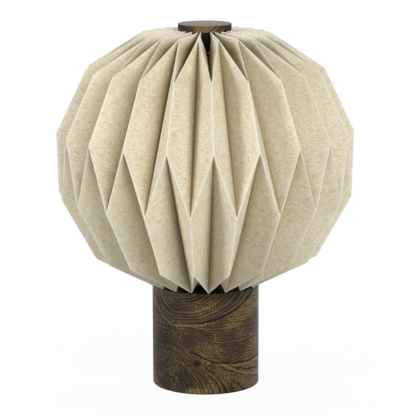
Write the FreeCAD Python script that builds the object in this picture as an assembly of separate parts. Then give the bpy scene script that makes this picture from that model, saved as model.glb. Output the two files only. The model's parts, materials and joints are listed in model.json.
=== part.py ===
import FreeCAD, Part
import math
import os

# Pleated paper table lamp: turned wood base, lampholder, wire carrier, lift-off folded shade, screwed wood cap.
# Millimetres. +Z is up, the origin is the centre of the base's underside, and -Y is the front.

# Fits and gaps
running_gap = 0.05
seat_gap = 0.1
glue_gap = 0.3
cut_overrun = 2.0

# Base block and what is fixed under it
base_radius = 50.0
base_height = 96.0
base_edge = 0.8
cavity_radius = 36.0
cavity_depth = 40.0
pad_thickness = 1.6
pad_radius = 46.0
cover_thickness = 1.5
ballast_thickness = 24.0
ballast_edge = 1.5

# Screws of the bottom cover
cover_screw_count = 3
cover_screw_radius = 1.6
cover_screw_head_radius = 3.1
cover_screw_length = 13.0
cover_screw_wall = 5.0

# Cord inlet at the back of the base
gland_height = 8.0
gland_barrel_radius = 4.9
gland_bore_radius = 3.3
gland_flange_radius = 6.8
gland_flange_thickness = 2.0
gland_sink = 1.4
gland_edge = 0.6

# Hollow threaded tube through the base, with its nut and washers
nipple_radius = 5.0
nipple_bore_radius = 3.5
nipple_end = 1.5
nipple_grip = 10.0
nut_flats = 15.0
nut_thickness = 5.0
nut_bevel = 0.7
nut_washer_radius = 10.0
nut_washer_thickness = 1.5
seat_washer_radius = 15.0
seat_washer_thickness = 1.2

# Lampholder
holder_radius = 19.5
holder_wall = 2.3
holder_foot_radius = 9.5
holder_cap_height = 22.0
holder_rim_height = 6.0
holder_body_height = 32.0
holder_shoulder_radius = 23.0
holder_shoulder_thickness = 3.0
holder_lip = 1.6
insert_thickness = 10.0
insert_step = 3.0
insert_step_radius = 15.2
shell_radius = 14.4
shell_wall = 0.5
shell_height = 23.0
contact_radius = 4.5
contact_thickness = 0.8
contact_rise = 1.2
terminal_radius = 2.0
terminal_length = 2.6
terminal_spread = 8.0
shade_ring_radius = 25.5
shade_ring_height = 6.5
shade_ring_grips = 16
shade_ring_grip_radius = 1.5

# Lamp bulb
bulb_tip_radius = 4.2
bulb_tip_height = 1.2
bulb_insulator_radius = 9.5
bulb_insulator_height = 3.4
bulb_cap_radius = 13.1
bulb_cap_height = 22.0
bulb_cap_bevel = 1.5
bulb_neck_radius = 13.8
bulb_neck_height = 28.0
globe_radius = 30.0
globe_wall = 1.0
globe_neck_radius = 22.4

# Wire carrier
wire_radius = 1.6
wire_margin = 0.7
leg_count = 3
leg_gap = 12.0
leg_foot_rise = 10.0
leg_neck_height = 22.0
leg_bend_radius = 9.0
lower_ring_thickness = 1.5
frame_height = 188.9
top_ring_thickness = 2.0
top_ring_width = 3.4

# Collar of the shade and the slip ring that it turns on
collar_radius = 24.7
collar_height = 16.4
collar_wall = 3.0
collar_web = 10.0
collar_edge = 0.5
spigot_depth = 4.0
slip_thickness = 1.45
slip_wall = 1.5
slip_inset = 6.1

# Wood cap and its screw
cap_radius = 24.7
cap_thickness = 6.5
cap_edge = 0.5
stud_radius = 3.0
stud_in_cap = 4.5
stud_in_collar = 8.0
insert_wall = 1.4
insert_length = 9.6
cap_washer_radius = 12.0
cap_washer_thickness = 0.5

# Paper shade: folds are given by radius, and by drop below the ridges, which stand above the collar beside the cap
pleat_count = 21
panel_count = 3
paper_thickness = 0.6
fold_half_width = 0.25
ridge_rise = 1.75
gather_depth = 33.0
eave_ridge_radius = 59.0
eave_ridge_drop = 3.4
eave_point_radius = 111.0
eave_point_drop = 37.4
fork_radius = 137.5
fork_drop = 93.4
junction_radius = 136.5
junction_drop = 152.4
hem_ridge_radius = 105.5
hem_ridge_drop = 208.4
hem_point_gap = 2.0
hem_point_drop = 236.9
hem_tuck_gap = 7.0
hem_tuck_drop = 222.4

# Heights and radii that follow from the sizes above
recess_depth = pad_thickness + cover_thickness
cavity_top = recess_depth + cavity_depth
ballast_bottom = cavity_top - ballast_thickness
nut_top = ballast_bottom - nut_washer_thickness
nut_bottom = nut_top - nut_thickness
holder_foot = base_height + seat_washer_thickness
holder_split = holder_foot + holder_cap_height
holder_top = holder_split + holder_body_height
shoulder_top = holder_split + holder_shoulder_thickness
ring_top = shoulder_top + lower_ring_thickness
holder_bore = holder_radius - holder_wall
insert_bottom = holder_split - holder_rim_height
insert_top = insert_bottom + insert_thickness
contact_top = insert_top + contact_thickness + contact_rise
bulb_bottom = contact_top + seat_gap
bulb_insulator_bottom = bulb_bottom + bulb_tip_height
bulb_cap_bottom = bulb_insulator_bottom + bulb_insulator_height
bulb_neck_bottom = bulb_cap_bottom + bulb_cap_height
globe_bottom = bulb_neck_bottom + bulb_neck_height
globe_centre = globe_bottom + math.sqrt(globe_radius**2 - globe_neck_radius**2)
leg_foot_radius = shade_ring_radius + wire_radius + wire_margin
leg_radius = globe_radius + leg_gap
top_ring_bottom = ring_top + frame_height
top_ring_top = top_ring_bottom + top_ring_thickness
top_ring_outer = collar_radius - slip_inset
top_ring_inner = top_ring_outer - top_ring_width
leg_top_radius = (top_ring_outer + top_ring_inner) / 2
slip_bottom = top_ring_top + running_gap
slip_top = slip_bottom + slip_thickness
slip_outer = top_ring_inner - running_gap
slip_bore = slip_outer - slip_wall
collar_bottom = slip_top + running_gap
collar_top = collar_bottom + collar_height
insert_radius = stud_radius + running_gap + insert_wall
cap_bottom = collar_top + cap_washer_thickness
gather_radius = collar_radius + glue_gap
ridge_height = collar_top + ridge_rise

Vector = FreeCAD.Vector
up = Vector(0, 0, 1)
back = Vector(0, 1, 0)
full_turn = 360.0
pitch = full_turn / pleat_count


def at(radius, height, turn=0.0):
    """Point at a radius and height, turned about the lamp's axis by degrees."""
    angle = math.radians(turn)
    return Vector(radius * math.cos(angle), radius * math.sin(angle), height)


def turned(start, *steps):
    """Solid of revolution: a step is a corner (radius, height), or a middle and an end point of an arc."""
    edges = []
    here = start
    for step in steps:
        if isinstance(step[0], tuple):
            middle, end = step
            edges.append(Part.Arc(at(*here), at(*middle), at(*end)).toShape())
        else:
            end = step
            edges.append(Part.LineSegment(at(*here), at(*end)).toShape())
        here = end
    if here != start:
        edges.append(Part.LineSegment(at(*here), at(*start)).toShape())
    return Part.Face(Part.Wire(edges)).revolve(Vector(), up, full_turn)


def tube(inner, outer, bottom, top):
    """Plain ring between two radii and two heights."""
    return turned((inner, bottom), (outer, bottom), (outer, top), (inner, top))


def rod(radius, bottom, top):
    """Plain upright cylinder on the axis."""
    return Part.makeCylinder(radius, top - bottom, Vector(0, 0, bottom))


def around(shape, count, first=0.0):
    """Copies of a shape at even turns about the axis."""
    copies = []
    for index in range(count):
        copy = shape.copy()
        copy.rotate(Vector(), up, first + full_turn * index / count)
        copies.append(copy)
    return copies


def corner_arc(centre_radius, centre_height, size, start):
    """Middle and end of a quarter circle that begins at an angle of a profile's corner."""
    points = []
    for angle in (start + math.pi / 4, start + math.pi / 2):
        points.append((centre_radius + size * math.cos(angle), centre_height + size * math.sin(angle)))
    return tuple(points)


def dome(radius, bottom, rise):
    """Middle and end of a profile's arc that rises from a rim to the axis as part of a sphere."""
    ball = (radius**2 + rise**2) / (2 * rise)
    half = math.asin(radius / ball) / 2
    middle = (ball * math.sin(half), bottom + rise - ball * (1 - math.cos(half)))
    return middle, (0, bottom + rise)


# Base

screw_circle = cavity_radius + cover_screw_wall
screw_head_height = cover_screw_head_radius - cover_screw_radius


def cover_screw(extra):
    """Countersunk wood screw of the bottom cover, or its hole when made larger."""
    bottom = pad_thickness
    neck = bottom + screw_head_height
    tip = bottom + cover_screw_length
    screw = turned(
        (0, bottom),
        (cover_screw_head_radius + extra, bottom),
        (cover_screw_radius + extra, neck),
        (cover_screw_radius + extra, tip - cover_screw_radius),
        (0, tip + extra),
    )
    screw.translate(Vector(0, -screw_circle, 0))
    return screw


gland_axis = recess_depth + gland_height
gland_face = base_radius - gland_sink


def base_body():
    inner = base_radius - base_edge
    block = turned(
        (0, 0),
        (inner, 0),
        corner_arc(inner, base_edge, base_edge, -math.pi / 2),
        (base_radius, base_height - base_edge),
        corner_arc(inner, base_height - base_edge, base_edge, 0.0),
        (0, base_height),
    )
    hollow = turned(
        (0, -cut_overrun),
        (pad_radius + glue_gap, -cut_overrun),
        (pad_radius + glue_gap, recess_depth),
        (cavity_radius, recess_depth),
        (cavity_radius, cavity_top),
        (nipple_radius + seat_gap, cavity_top),
        (nipple_radius + seat_gap, base_height + cut_overrun),
        (0, base_height + cut_overrun),
    )
    inlet = Part.makeCylinder(gland_barrel_radius + seat_gap, base_radius, Vector(0, 0, gland_axis), back)
    flat = Part.makeCylinder(gland_flange_radius + seat_gap, base_radius, Vector(0, gland_face, gland_axis), back)
    return block.cut([hollow, inlet, flat] + around(cover_screw(seat_gap), cover_screw_count))


def ballast_disc():
    disc = tube(nipple_radius + seat_gap, cavity_radius - glue_gap, ballast_bottom, cavity_top)
    rims = [edge for edge in disc.Edges if edge.Curve.TypeId == "Part::GeomCircle"]
    outer = [edge for edge in rims if edge.Curve.Radius > cavity_radius / 2]
    return disc.makeChamfer(ballast_edge, outer)


def bottom_cover():
    plate = rod(pad_radius, pad_thickness, recess_depth)
    return plate.cut(around(cover_screw(seat_gap), cover_screw_count))


def felt_pad():
    return rod(pad_radius, 0, pad_thickness)


def cover_screws():
    return Part.makeCompound(around(cover_screw(0), cover_screw_count))


def cord_gland():
    barrel_end = math.sqrt(cavity_radius**2 - gland_flange_radius**2)
    flange_end = gland_face + gland_flange_thickness
    rim = gland_flange_radius - gland_edge
    gland = turned(
        (gland_bore_radius, barrel_end),
        (gland_barrel_radius, barrel_end),
        (gland_barrel_radius, gland_face),
        (gland_flange_radius, gland_face),
        (gland_flange_radius, flange_end - gland_edge),
        corner_arc(rim, flange_end - gland_edge, gland_edge, 0.0),
        (gland_bore_radius, flange_end),
    )
    gland.rotate(Vector(), Vector(1, 0, 0), -full_turn / 4)
    gland.translate(Vector(0, 0, gland_axis))
    return gland


# Threaded tube, nut and washers

def nipple():
    return tube(nipple_bore_radius, nipple_radius, nut_bottom - nipple_end, holder_foot + nipple_grip)


def nipple_nut():
    corner = nut_flats / math.sqrt(3)
    corners = [at(corner, nut_bottom, full_turn * side / 6) for side in range(7)]
    prism = Part.Face(Part.makePolygon(corners)).extrude(up * nut_thickness)
    bevel = turned(
        (nipple_radius + running_gap, nut_bottom),
        (corner - nut_bevel, nut_bottom),
        (corner, nut_bottom + nut_bevel),
        (corner, nut_top),
        (nipple_radius + running_gap, nut_top),
    )
    return prism.common(bevel)


def nipple_washer():
    return tube(nipple_radius + seat_gap, nut_washer_radius, nut_top, ballast_bottom)


def seat_washer():
    return tube(nipple_radius + seat_gap, seat_washer_radius, base_height, holder_foot)


# Lampholder

def holder_cap():
    neck_bore = nipple_radius + running_gap
    neck_top = holder_foot + nipple_grip
    rim_bottom = insert_bottom
    ledge = holder_bore - holder_wall
    return turned(
        (neck_bore, holder_foot),
        (holder_foot_radius, holder_foot),
        (holder_foot_radius, holder_foot + holder_wall),
        (holder_radius, rim_bottom),
        (holder_radius, holder_split),
        (holder_bore, holder_split),
        (holder_bore, rim_bottom),
        (ledge, rim_bottom),
        (holder_foot_radius - holder_wall / 2, neck_top),
        (neck_bore, neck_top),
    )


def holder_insert():
    radius = holder_bore - seat_gap
    return turned(
        (0, insert_bottom),
        (radius, insert_bottom),
        (radius, insert_top - insert_step),
        (insert_step_radius, insert_top - insert_step),
        (insert_step_radius, insert_top),
        (0, insert_top),
    )


def terminal_screws():
    screw = rod(terminal_radius, insert_bottom - terminal_length, insert_bottom)
    slot = Part.makeBox(terminal_radius * 3, terminal_radius / 3, terminal_radius / 2)
    slot.translate(Vector(-terminal_radius * 3 / 2, -terminal_radius / 6, insert_bottom - terminal_length))
    screw = screw.cut(slot)
    screw.translate(Vector(terminal_spread, 0, 0))
    return Part.makeCompound(around(screw, 2))


def holder_body():
    lip = holder_bore - holder_lip
    return turned(
        (holder_bore, holder_split),
        (holder_shoulder_radius, holder_split),
        (holder_shoulder_radius, shoulder_top),
        (holder_radius, shoulder_top),
        (holder_radius, holder_top - holder_lip),
        corner_arc(holder_radius - holder_lip, holder_top - holder_lip, holder_lip, 0.0),
        (lip, holder_top),
        (lip, holder_top - holder_lip),
        (holder_bore, holder_top - holder_lip),
    )


def screw_shell():
    return tube(shell_radius - shell_wall, shell_radius, insert_top, insert_top + shell_height)


def centre_contact():
    rim = insert_top + contact_thickness
    return turned(
        (0, insert_top),
        (contact_radius, insert_top),
        (contact_radius, rim),
        dome(contact_radius, rim, contact_rise),
    )


def shade_ring():
    top = ring_top + shade_ring_height
    bore = holder_radius + glue_gap
    ring = tube(bore, shade_ring_radius, ring_top, top)
    groove = Part.makeCylinder(
        shade_ring_grip_radius,
        shade_ring_height + 2 * cut_overrun,
        Vector(shade_ring_radius + shade_ring_grip_radius / 2, 0, ring_top - cut_overrun),
    )
    return ring.cut(around(groove, shade_ring_grips))


# Bulb

def bulb_tip():
    return turned(
        (0, bulb_bottom),
        (bulb_tip_radius / 2, bulb_bottom),
        (bulb_tip_radius, bulb_insulator_bottom),
        (0, bulb_insulator_bottom),
    )


def bulb_insulator():
    return turned(
        (0, bulb_insulator_bottom),
        (bulb_tip_radius + shell_wall, bulb_insulator_bottom),
        (bulb_insulator_radius, bulb_cap_bottom),
        (0, bulb_cap_bottom),
    )


def bulb_cap():
    return turned(
        (0, bulb_cap_bottom),
        (bulb_cap_radius - bulb_cap_bevel, bulb_cap_bottom),
        (bulb_cap_radius, bulb_cap_bottom + bulb_cap_bevel),
        (bulb_cap_radius, bulb_neck_bottom),
        (0, bulb_neck_bottom),
    )


def bulb_neck():
    middle = ((bulb_neck_radius + globe_neck_radius) / 2 - globe_wall, (bulb_neck_bottom + globe_bottom) / 2)
    return turned(
        (0, bulb_neck_bottom),
        (bulb_neck_radius, bulb_neck_bottom),
        (middle, (globe_neck_radius, globe_bottom)),
        (0, globe_bottom),
    )


def bulb_globe():
    inner = globe_radius - globe_wall
    rise = globe_centre - globe_bottom
    mouth = math.sqrt(inner**2 - rise**2)
    return turned(
        (mouth, globe_bottom),
        (globe_neck_radius, globe_bottom),
        ((globe_radius, globe_centre), (0, globe_centre + globe_radius)),
        (0, globe_centre + inner),
        ((inner, globe_centre), (mouth, globe_bottom)),
    )


# Wire carrier

def frame_lower_ring():
    return tube(holder_radius + glue_gap, leg_foot_radius + wire_radius + wire_margin, shoulder_top, ring_top)


def frame_top_ring():
    return tube(top_ring_inner, top_ring_outer, top_ring_bottom, top_ring_top)


def rounded_path(corners, bend):
    """Wire through corners, with a tangent arc of the bend radius at each inner corner."""
    edges = []
    here = corners[0]
    for before, corner, after in zip(corners, corners[1:], corners[2:]):
        back_way = (before - corner).normalize()
        on_way = (after - corner).normalize()
        half = back_way.getAngle(on_way) / 2
        reach = bend / math.tan(half)
        start = corner + back_way * reach
        end = corner + on_way * reach
        inside = (back_way + on_way).normalize()
        middle = corner + inside * (bend / math.sin(half) - bend)
        edges.append(Part.LineSegment(here, start).toShape())
        edges.append(Part.Arc(start, middle, end).toShape())
        here = end
    edges.append(Part.LineSegment(here, corners[-1]).toShape())
    return Part.Wire(edges)


def frame_leg(turn):
    neck_bottom = top_ring_bottom - leg_neck_height
    flare_bottom = ring_top + leg_foot_rise
    flare_top = flare_bottom + leg_radius - leg_foot_radius
    shoulder = neck_bottom - (leg_radius - leg_top_radius)
    corners = [
        at(leg_foot_radius, ring_top, turn),
        at(leg_foot_radius, flare_bottom, turn),
        at(leg_radius, flare_top, turn),
        at(leg_radius, shoulder, turn),
        at(leg_top_radius, neck_bottom, turn),
        at(leg_top_radius, top_ring_bottom, turn),
    ]
    section = Part.Wire(Part.makeCircle(wire_radius, corners[0], up))
    return rounded_path(corners, leg_bend_radius).makePipeShell([section], True, False)


# Slip ring, collar and cap

def slip_ring():
    return turned(
        (slip_bore, slip_bottom - spigot_depth),
        (slip_outer, slip_bottom - spigot_depth),
        (slip_outer, slip_bottom),
        (top_ring_outer, slip_bottom),
        (top_ring_outer, slip_top),
        (slip_bore, slip_top),
    )


def collar():
    spigot = slip_bore - running_gap
    rim = collar_radius - collar_edge
    return turned(
        (spigot - collar_wall, collar_bottom - spigot_depth),
        (spigot, collar_bottom - spigot_depth),
        (spigot, collar_bottom),
        (rim, collar_bottom),
        (collar_radius, collar_bottom + collar_edge),
        (collar_radius, collar_top),
        (insert_radius, collar_top),
        (insert_radius, collar_top - collar_web),
        (spigot - collar_wall, collar_top - collar_web),
    )


def collar_insert():
    return tube(stud_radius + running_gap, insert_radius, collar_top - insert_length, collar_top)


def cap_washer():
    return tube(stud_radius + glue_gap, cap_washer_radius, collar_top, cap_bottom)


def cap_disc():
    top = cap_bottom + cap_thickness
    rim = cap_radius - cap_edge
    hole = stud_radius
    return turned(
        (0, cap_bottom + stud_in_cap),
        (hole, cap_bottom + stud_in_cap),
        (hole, cap_bottom),
        (rim, cap_bottom),
        corner_arc(rim, cap_bottom + cap_edge, cap_edge, -math.pi / 2),
        (cap_radius, top - cap_edge),
        corner_arc(rim, top - cap_edge, cap_edge, 0.0),
        (0, top),
    )


def cap_stud():
    return rod(stud_radius, cap_bottom - stud_in_collar, cap_bottom + stud_in_cap)


# Shade

half_pitch = pitch / 2
half_paper = paper_thickness / 2


def fold(radius, drop, turn):
    """Corner where folds meet, on the paper's middle surface."""
    return at(radius, ridge_height - drop, turn)


# One fold line of each kind, from the collar down to the hem
point_line = [
    fold(gather_radius, gather_depth, 0),
    fold(eave_point_radius, eave_point_drop, 0),
    fold(fork_radius, fork_drop, 0),
    fold(base_radius + hem_point_gap, hem_point_drop, 0),
]
ridge_line = [
    fold(gather_radius, 0, half_pitch),
    fold(eave_ridge_radius, eave_ridge_drop, half_pitch),
    fold(junction_radius, junction_drop, half_pitch),
    fold(hem_ridge_radius, hem_ridge_drop, half_pitch),
    fold(base_radius + hem_tuck_gap, hem_tuck_drop, half_pitch),
]
# Plane across the paper at each fold line, and the distance from it of the flat land's edge
point_side = at(1, 0, full_turn / 4)
ridge_side = at(1, 0, half_pitch + full_turn / 4)


def facing(corner, along, across):
    """Outward unit normal of the facet that leaves a corner along its fold and across to the other fold."""
    return (along - corner).cross(across - corner).normalize()


def meeting(planes):
    """Point shared by three planes, each a normal and its distance from the origin."""
    (a, da), (b, db), (c, dc) = planes
    sum_of_sides = b.cross(c) * da + c.cross(a) * db + a.cross(b) * dc
    return sum_of_sides * (1 / a.dot(b.cross(c)))


def paper_corner(corner, normals, side, land, layer):
    """Corner of one face of the paper: two facets moved by half the paper, at the edge of the fold's land."""
    planes = [(normal, normal.dot(corner) + layer) for normal in normals]
    return meeting(planes + [(side, land)])


def cut_end(corner, normal, trim, side, land, layer):
    """As above at a cut end, where the paper is trimmed on a plane through the corner."""
    planes = [(normal, normal.dot(corner) + layer), (trim, trim.dot(corner)), (side, land)]
    return meeting(planes)


def paper_face(layer):
    """Corners of the front or back face of half a pleat: those by the point line, those by the ridge line."""
    gather_p, eave_p, fork, hem_p = point_line
    gather_r, eave_r, junction, hem_r, tuck = ridge_line
    crown_p = facing(eave_p, eave_r, gather_p)
    crown_r = facing(eave_r, gather_r, eave_p)
    shoulder_p = facing(eave_p, fork, eave_r)
    shoulder_r = facing(eave_r, eave_p, junction)
    shoulder_fork = facing(fork, junction, eave_p)
    shoulder_end = facing(junction, eave_r, fork)
    belly_fork = facing(fork, hem_p, junction)
    belly_start = facing(junction, fork, hem_r)
    belly_p = facing(hem_p, hem_r, fork)
    belly_r = facing(hem_r, junction, hem_p)
    hem = facing(hem_p, tuck, hem_r)
    top_p = facing(gather_p, eave_p, gather_r)
    top_r = facing(gather_r, gather_p, eave_r)
    land = fold_half_width
    by_point = [
        cut_end(gather_p, top_p, at(1, 0), point_side, land, layer),
        paper_corner(eave_p, (crown_p, shoulder_p), point_side, land, layer),
        paper_corner(fork, (shoulder_fork, belly_fork), point_side, land, layer),
        paper_corner(hem_p, (belly_p, hem), point_side, land, layer),
    ]
    by_ridge = [
        cut_end(gather_r, top_r, at(1, 0, half_pitch), ridge_side, -land, layer),
        paper_corner(eave_r, (crown_r, shoulder_r), ridge_side, -land, layer),
        paper_corner(junction, (shoulder_end, belly_start), ridge_side, -land, layer),
        paper_corner(hem_r, (belly_r, hem), ridge_side, -land, layer),
        cut_end(tuck, hem, (tuck - hem_r).normalize(), ridge_side, -land, layer),
    ]
    return by_point, by_ridge


def onto(points, side):
    """Points moved square onto a fold's own plane."""
    return [point - side * point.dot(side) for point in points]


def flat(*points):
    """Flat face through corners in order."""
    return Part.Face(Part.makePolygon(list(points) + [points[0]]))


def strip(first, second):
    """Flat faces between two rows of corners."""
    faces = []
    for index in range(len(first) - 1):
        faces.append(flat(first[index], first[index + 1], second[index + 1], second[index]))
    return faces


def half_pleat():
    """Faces of half a pleat, from the middle of one fold line to the middle of the next, both layers."""
    faces = []
    layers = [paper_face(half_paper), paper_face(-half_paper)]
    for by_point, by_ridge in layers:
        # A bent facet is two flat ones, which meet on the diagonal that swells outwards
        faces.append(flat(by_point[0], by_point[1], by_ridge[0]))
        faces.append(flat(by_point[1], by_ridge[1], by_ridge[0]))
        for band in (1, 2):
            faces.append(flat(by_point[band], by_point[band + 1], by_ridge[band + 1]))
            faces.append(flat(by_point[band], by_ridge[band + 1], by_ridge[band]))
        faces.append(flat(by_point[3], by_ridge[4], by_ridge[3]))
        faces += strip(by_point, onto(by_point, point_side))
        faces += strip(by_ridge, onto(by_ridge, ridge_side))
    (outer_p, outer_r), (inner_p, inner_r) = layers
    for end_p, end_r in ((0, 0), (3, 4)):
        op, ip, outr, inr = outer_p[end_p], inner_p[end_p], outer_r[end_r], inner_r[end_r]
        faces.append(flat(op, outr, inr))
        faces.append(flat(op, inr, ip))
        faces.append(flat(op, ip, *onto([ip, op], point_side)))
        faces.append(flat(outr, inr, *onto([inr, outr], ridge_side)))
    seam = onto(outer_p, point_side) + onto(inner_p, point_side)[::-1]
    return faces, flat(*seam)


def shade_panels():
    """The folded shade as panels glued edge to edge along fold lines."""
    faces, seam = half_pleat()
    half = Part.makeCompound(faces)
    pleat = [half, half.mirror(Vector(), ridge_side)]
    panels = []
    for panel in range(panel_count):
        first = first_seam + panel * pleat_count // panel_count
        last = first_seam + (panel + 1) * pleat_count // panel_count
        pieces = []
        for index in range(first, last):
            for side in pleat:
                copy = side.copy()
                copy.rotate(Vector(), up, pitch * index)
                pieces += copy.Faces
        for index in (first, last):
            end = seam.copy()
            end.rotate(Vector(), up, pitch * index)
            pieces.append(end)
        shell = Part.makeCompound(pieces)
        shell.sewShape()
        solid = Part.Solid(shell.Shells[0])
        if solid.Volume < 0:
            solid.reverse()
        solid.rotate(Vector(), up, shade_turn)
        panels.append(solid)
    return panels


# The first fold line stands just right of the front, and the first seam at the back
fold_offset = 3.1
shade_turn = -full_turn / 4 + fold_offset
first_seam = pleat_count // 2

pieces = {
    "base_body": base_body(),
    "ballast_disc": ballast_disc(),
    "bottom_cover": bottom_cover(),
    "felt_pad": felt_pad(),
    "cover_screws": cover_screws(),
    "cord_gland": cord_gland(),
    "nipple": nipple(),
    "nipple_nut": nipple_nut(),
    "nipple_washer": nipple_washer(),
    "seat_washer": seat_washer(),
    "holder_cap": holder_cap(),
    "holder_insert": holder_insert(),
    "terminal_screws": terminal_screws(),
    "holder_body": holder_body(),
    "screw_shell": screw_shell(),
    "centre_contact": centre_contact(),
    "shade_ring": shade_ring(),
    "bulb_tip": bulb_tip(),
    "bulb_insulator": bulb_insulator(),
    "bulb_cap": bulb_cap(),
    "bulb_neck": bulb_neck(),
    "bulb_globe": bulb_globe(),
    "frame_lower_ring": frame_lower_ring(),
    "frame_top_ring": frame_top_ring(),
    "slip_ring": slip_ring(),
    "collar": collar(),
    "collar_insert": collar_insert(),
    "cap_washer": cap_washer(),
    "cap_disc": cap_disc(),
    "cap_stud": cap_stud(),
}
for number in range(leg_count):
    pieces["frame_leg_%d" % (number + 1)] = frame_leg(full_turn / 4 + full_turn * number / leg_count)
for number, panel in enumerate(shade_panels()):
    pieces["shade_panel_%d" % (number + 1)] = panel

os.makedirs("parts", exist_ok=True)
for name, shape in pieces.items():
    if not shape.isValid():
        raise ValueError("not a valid solid: " + name)
    shape.exportStep("parts/%s.step" % name)
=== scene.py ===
import json
import math

import bmesh
import bpy
from mathutils import Matrix, Vector


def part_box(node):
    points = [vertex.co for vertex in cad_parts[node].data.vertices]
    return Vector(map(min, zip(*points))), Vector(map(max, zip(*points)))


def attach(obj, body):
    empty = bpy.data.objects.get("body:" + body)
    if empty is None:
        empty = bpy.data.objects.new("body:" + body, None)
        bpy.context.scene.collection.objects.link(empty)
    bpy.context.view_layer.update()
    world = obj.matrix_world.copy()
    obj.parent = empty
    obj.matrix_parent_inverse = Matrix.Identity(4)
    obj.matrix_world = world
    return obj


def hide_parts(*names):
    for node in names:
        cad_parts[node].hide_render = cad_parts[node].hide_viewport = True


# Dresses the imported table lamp: folded linen paper, turned wood, lampholder, bulb, wire carrier and collar.
# Metres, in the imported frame: +Z is up and -Y is the front.

bl_info = {
    "name": "Folded paper table lamp",
    "version": (1, 0, 0),
    "blender": (4, 5, 0),
    "location": "View3D > Sidebar > Lamp",
    "description": "Folds the paper shade, turns the wood and finishes the fittings of the packed lamp",
    "category": "Add Mesh",
}

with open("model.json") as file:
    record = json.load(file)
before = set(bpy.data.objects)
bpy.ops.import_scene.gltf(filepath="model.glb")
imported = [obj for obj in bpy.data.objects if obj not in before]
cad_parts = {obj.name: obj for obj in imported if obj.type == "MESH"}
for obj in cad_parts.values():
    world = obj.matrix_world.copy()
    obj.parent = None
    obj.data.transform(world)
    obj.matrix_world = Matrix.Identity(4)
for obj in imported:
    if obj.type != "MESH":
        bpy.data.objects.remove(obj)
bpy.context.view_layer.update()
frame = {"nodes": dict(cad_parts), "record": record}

MM = 0.001
TURN = 2 * math.pi
QUARTER = TURN / 4
# Gaps between pieces that fit together
SNUG = 0.05 * MM
CLOSE = 0.1 * MM
LOOSE = 0.3 * MM


# Places

def span(node):
    """Foot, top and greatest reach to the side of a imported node."""
    low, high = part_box(node)
    return low.z, high.z, high.x


def foot(node):
    return span(node)[0]


def top(node):
    return span(node)[1]


def reach(node):
    return span(node)[2]


def at(radius, height, turn=0.0):
    """Point at a radius and height, turned about the lamp's axis."""
    return Vector((radius * math.cos(turn), radius * math.sin(turn), height))


def ease(value, start, end):
    """Smooth step from zero at start to one at end."""
    step = max(0.0, min(1.0, (value - start) / (end - start)))
    return step * step * (3 - 2 * step)


# Sizes and colours that a user would change

def length(name, description, default):
    return bpy.props.FloatProperty(
        name=name, description=description, default=default, unit="LENGTH", precision=5)


def share(name, description, default, most=1.0):
    return bpy.props.FloatProperty(name=name, description=description, default=default, min=0.0, max=most)


def angle(name, description, degrees):
    return bpy.props.FloatProperty(
        name=name, description=description, default=math.radians(degrees), subtype="ANGLE", unit="ROTATION")


def colour(name, description, red, green, blue):
    """Colour property, given as it shows on a screen from 0 to 255."""
    linear = [((c / 255 + 0.055) / 1.055) ** 2.4 if c > 10 else c / 255 / 12.92 for c in (red, green, blue)]
    return bpy.props.FloatVectorProperty(
        name=name, description=description, default=linear, subtype="COLOR", size=3, min=0.0, max=1.0)


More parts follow.
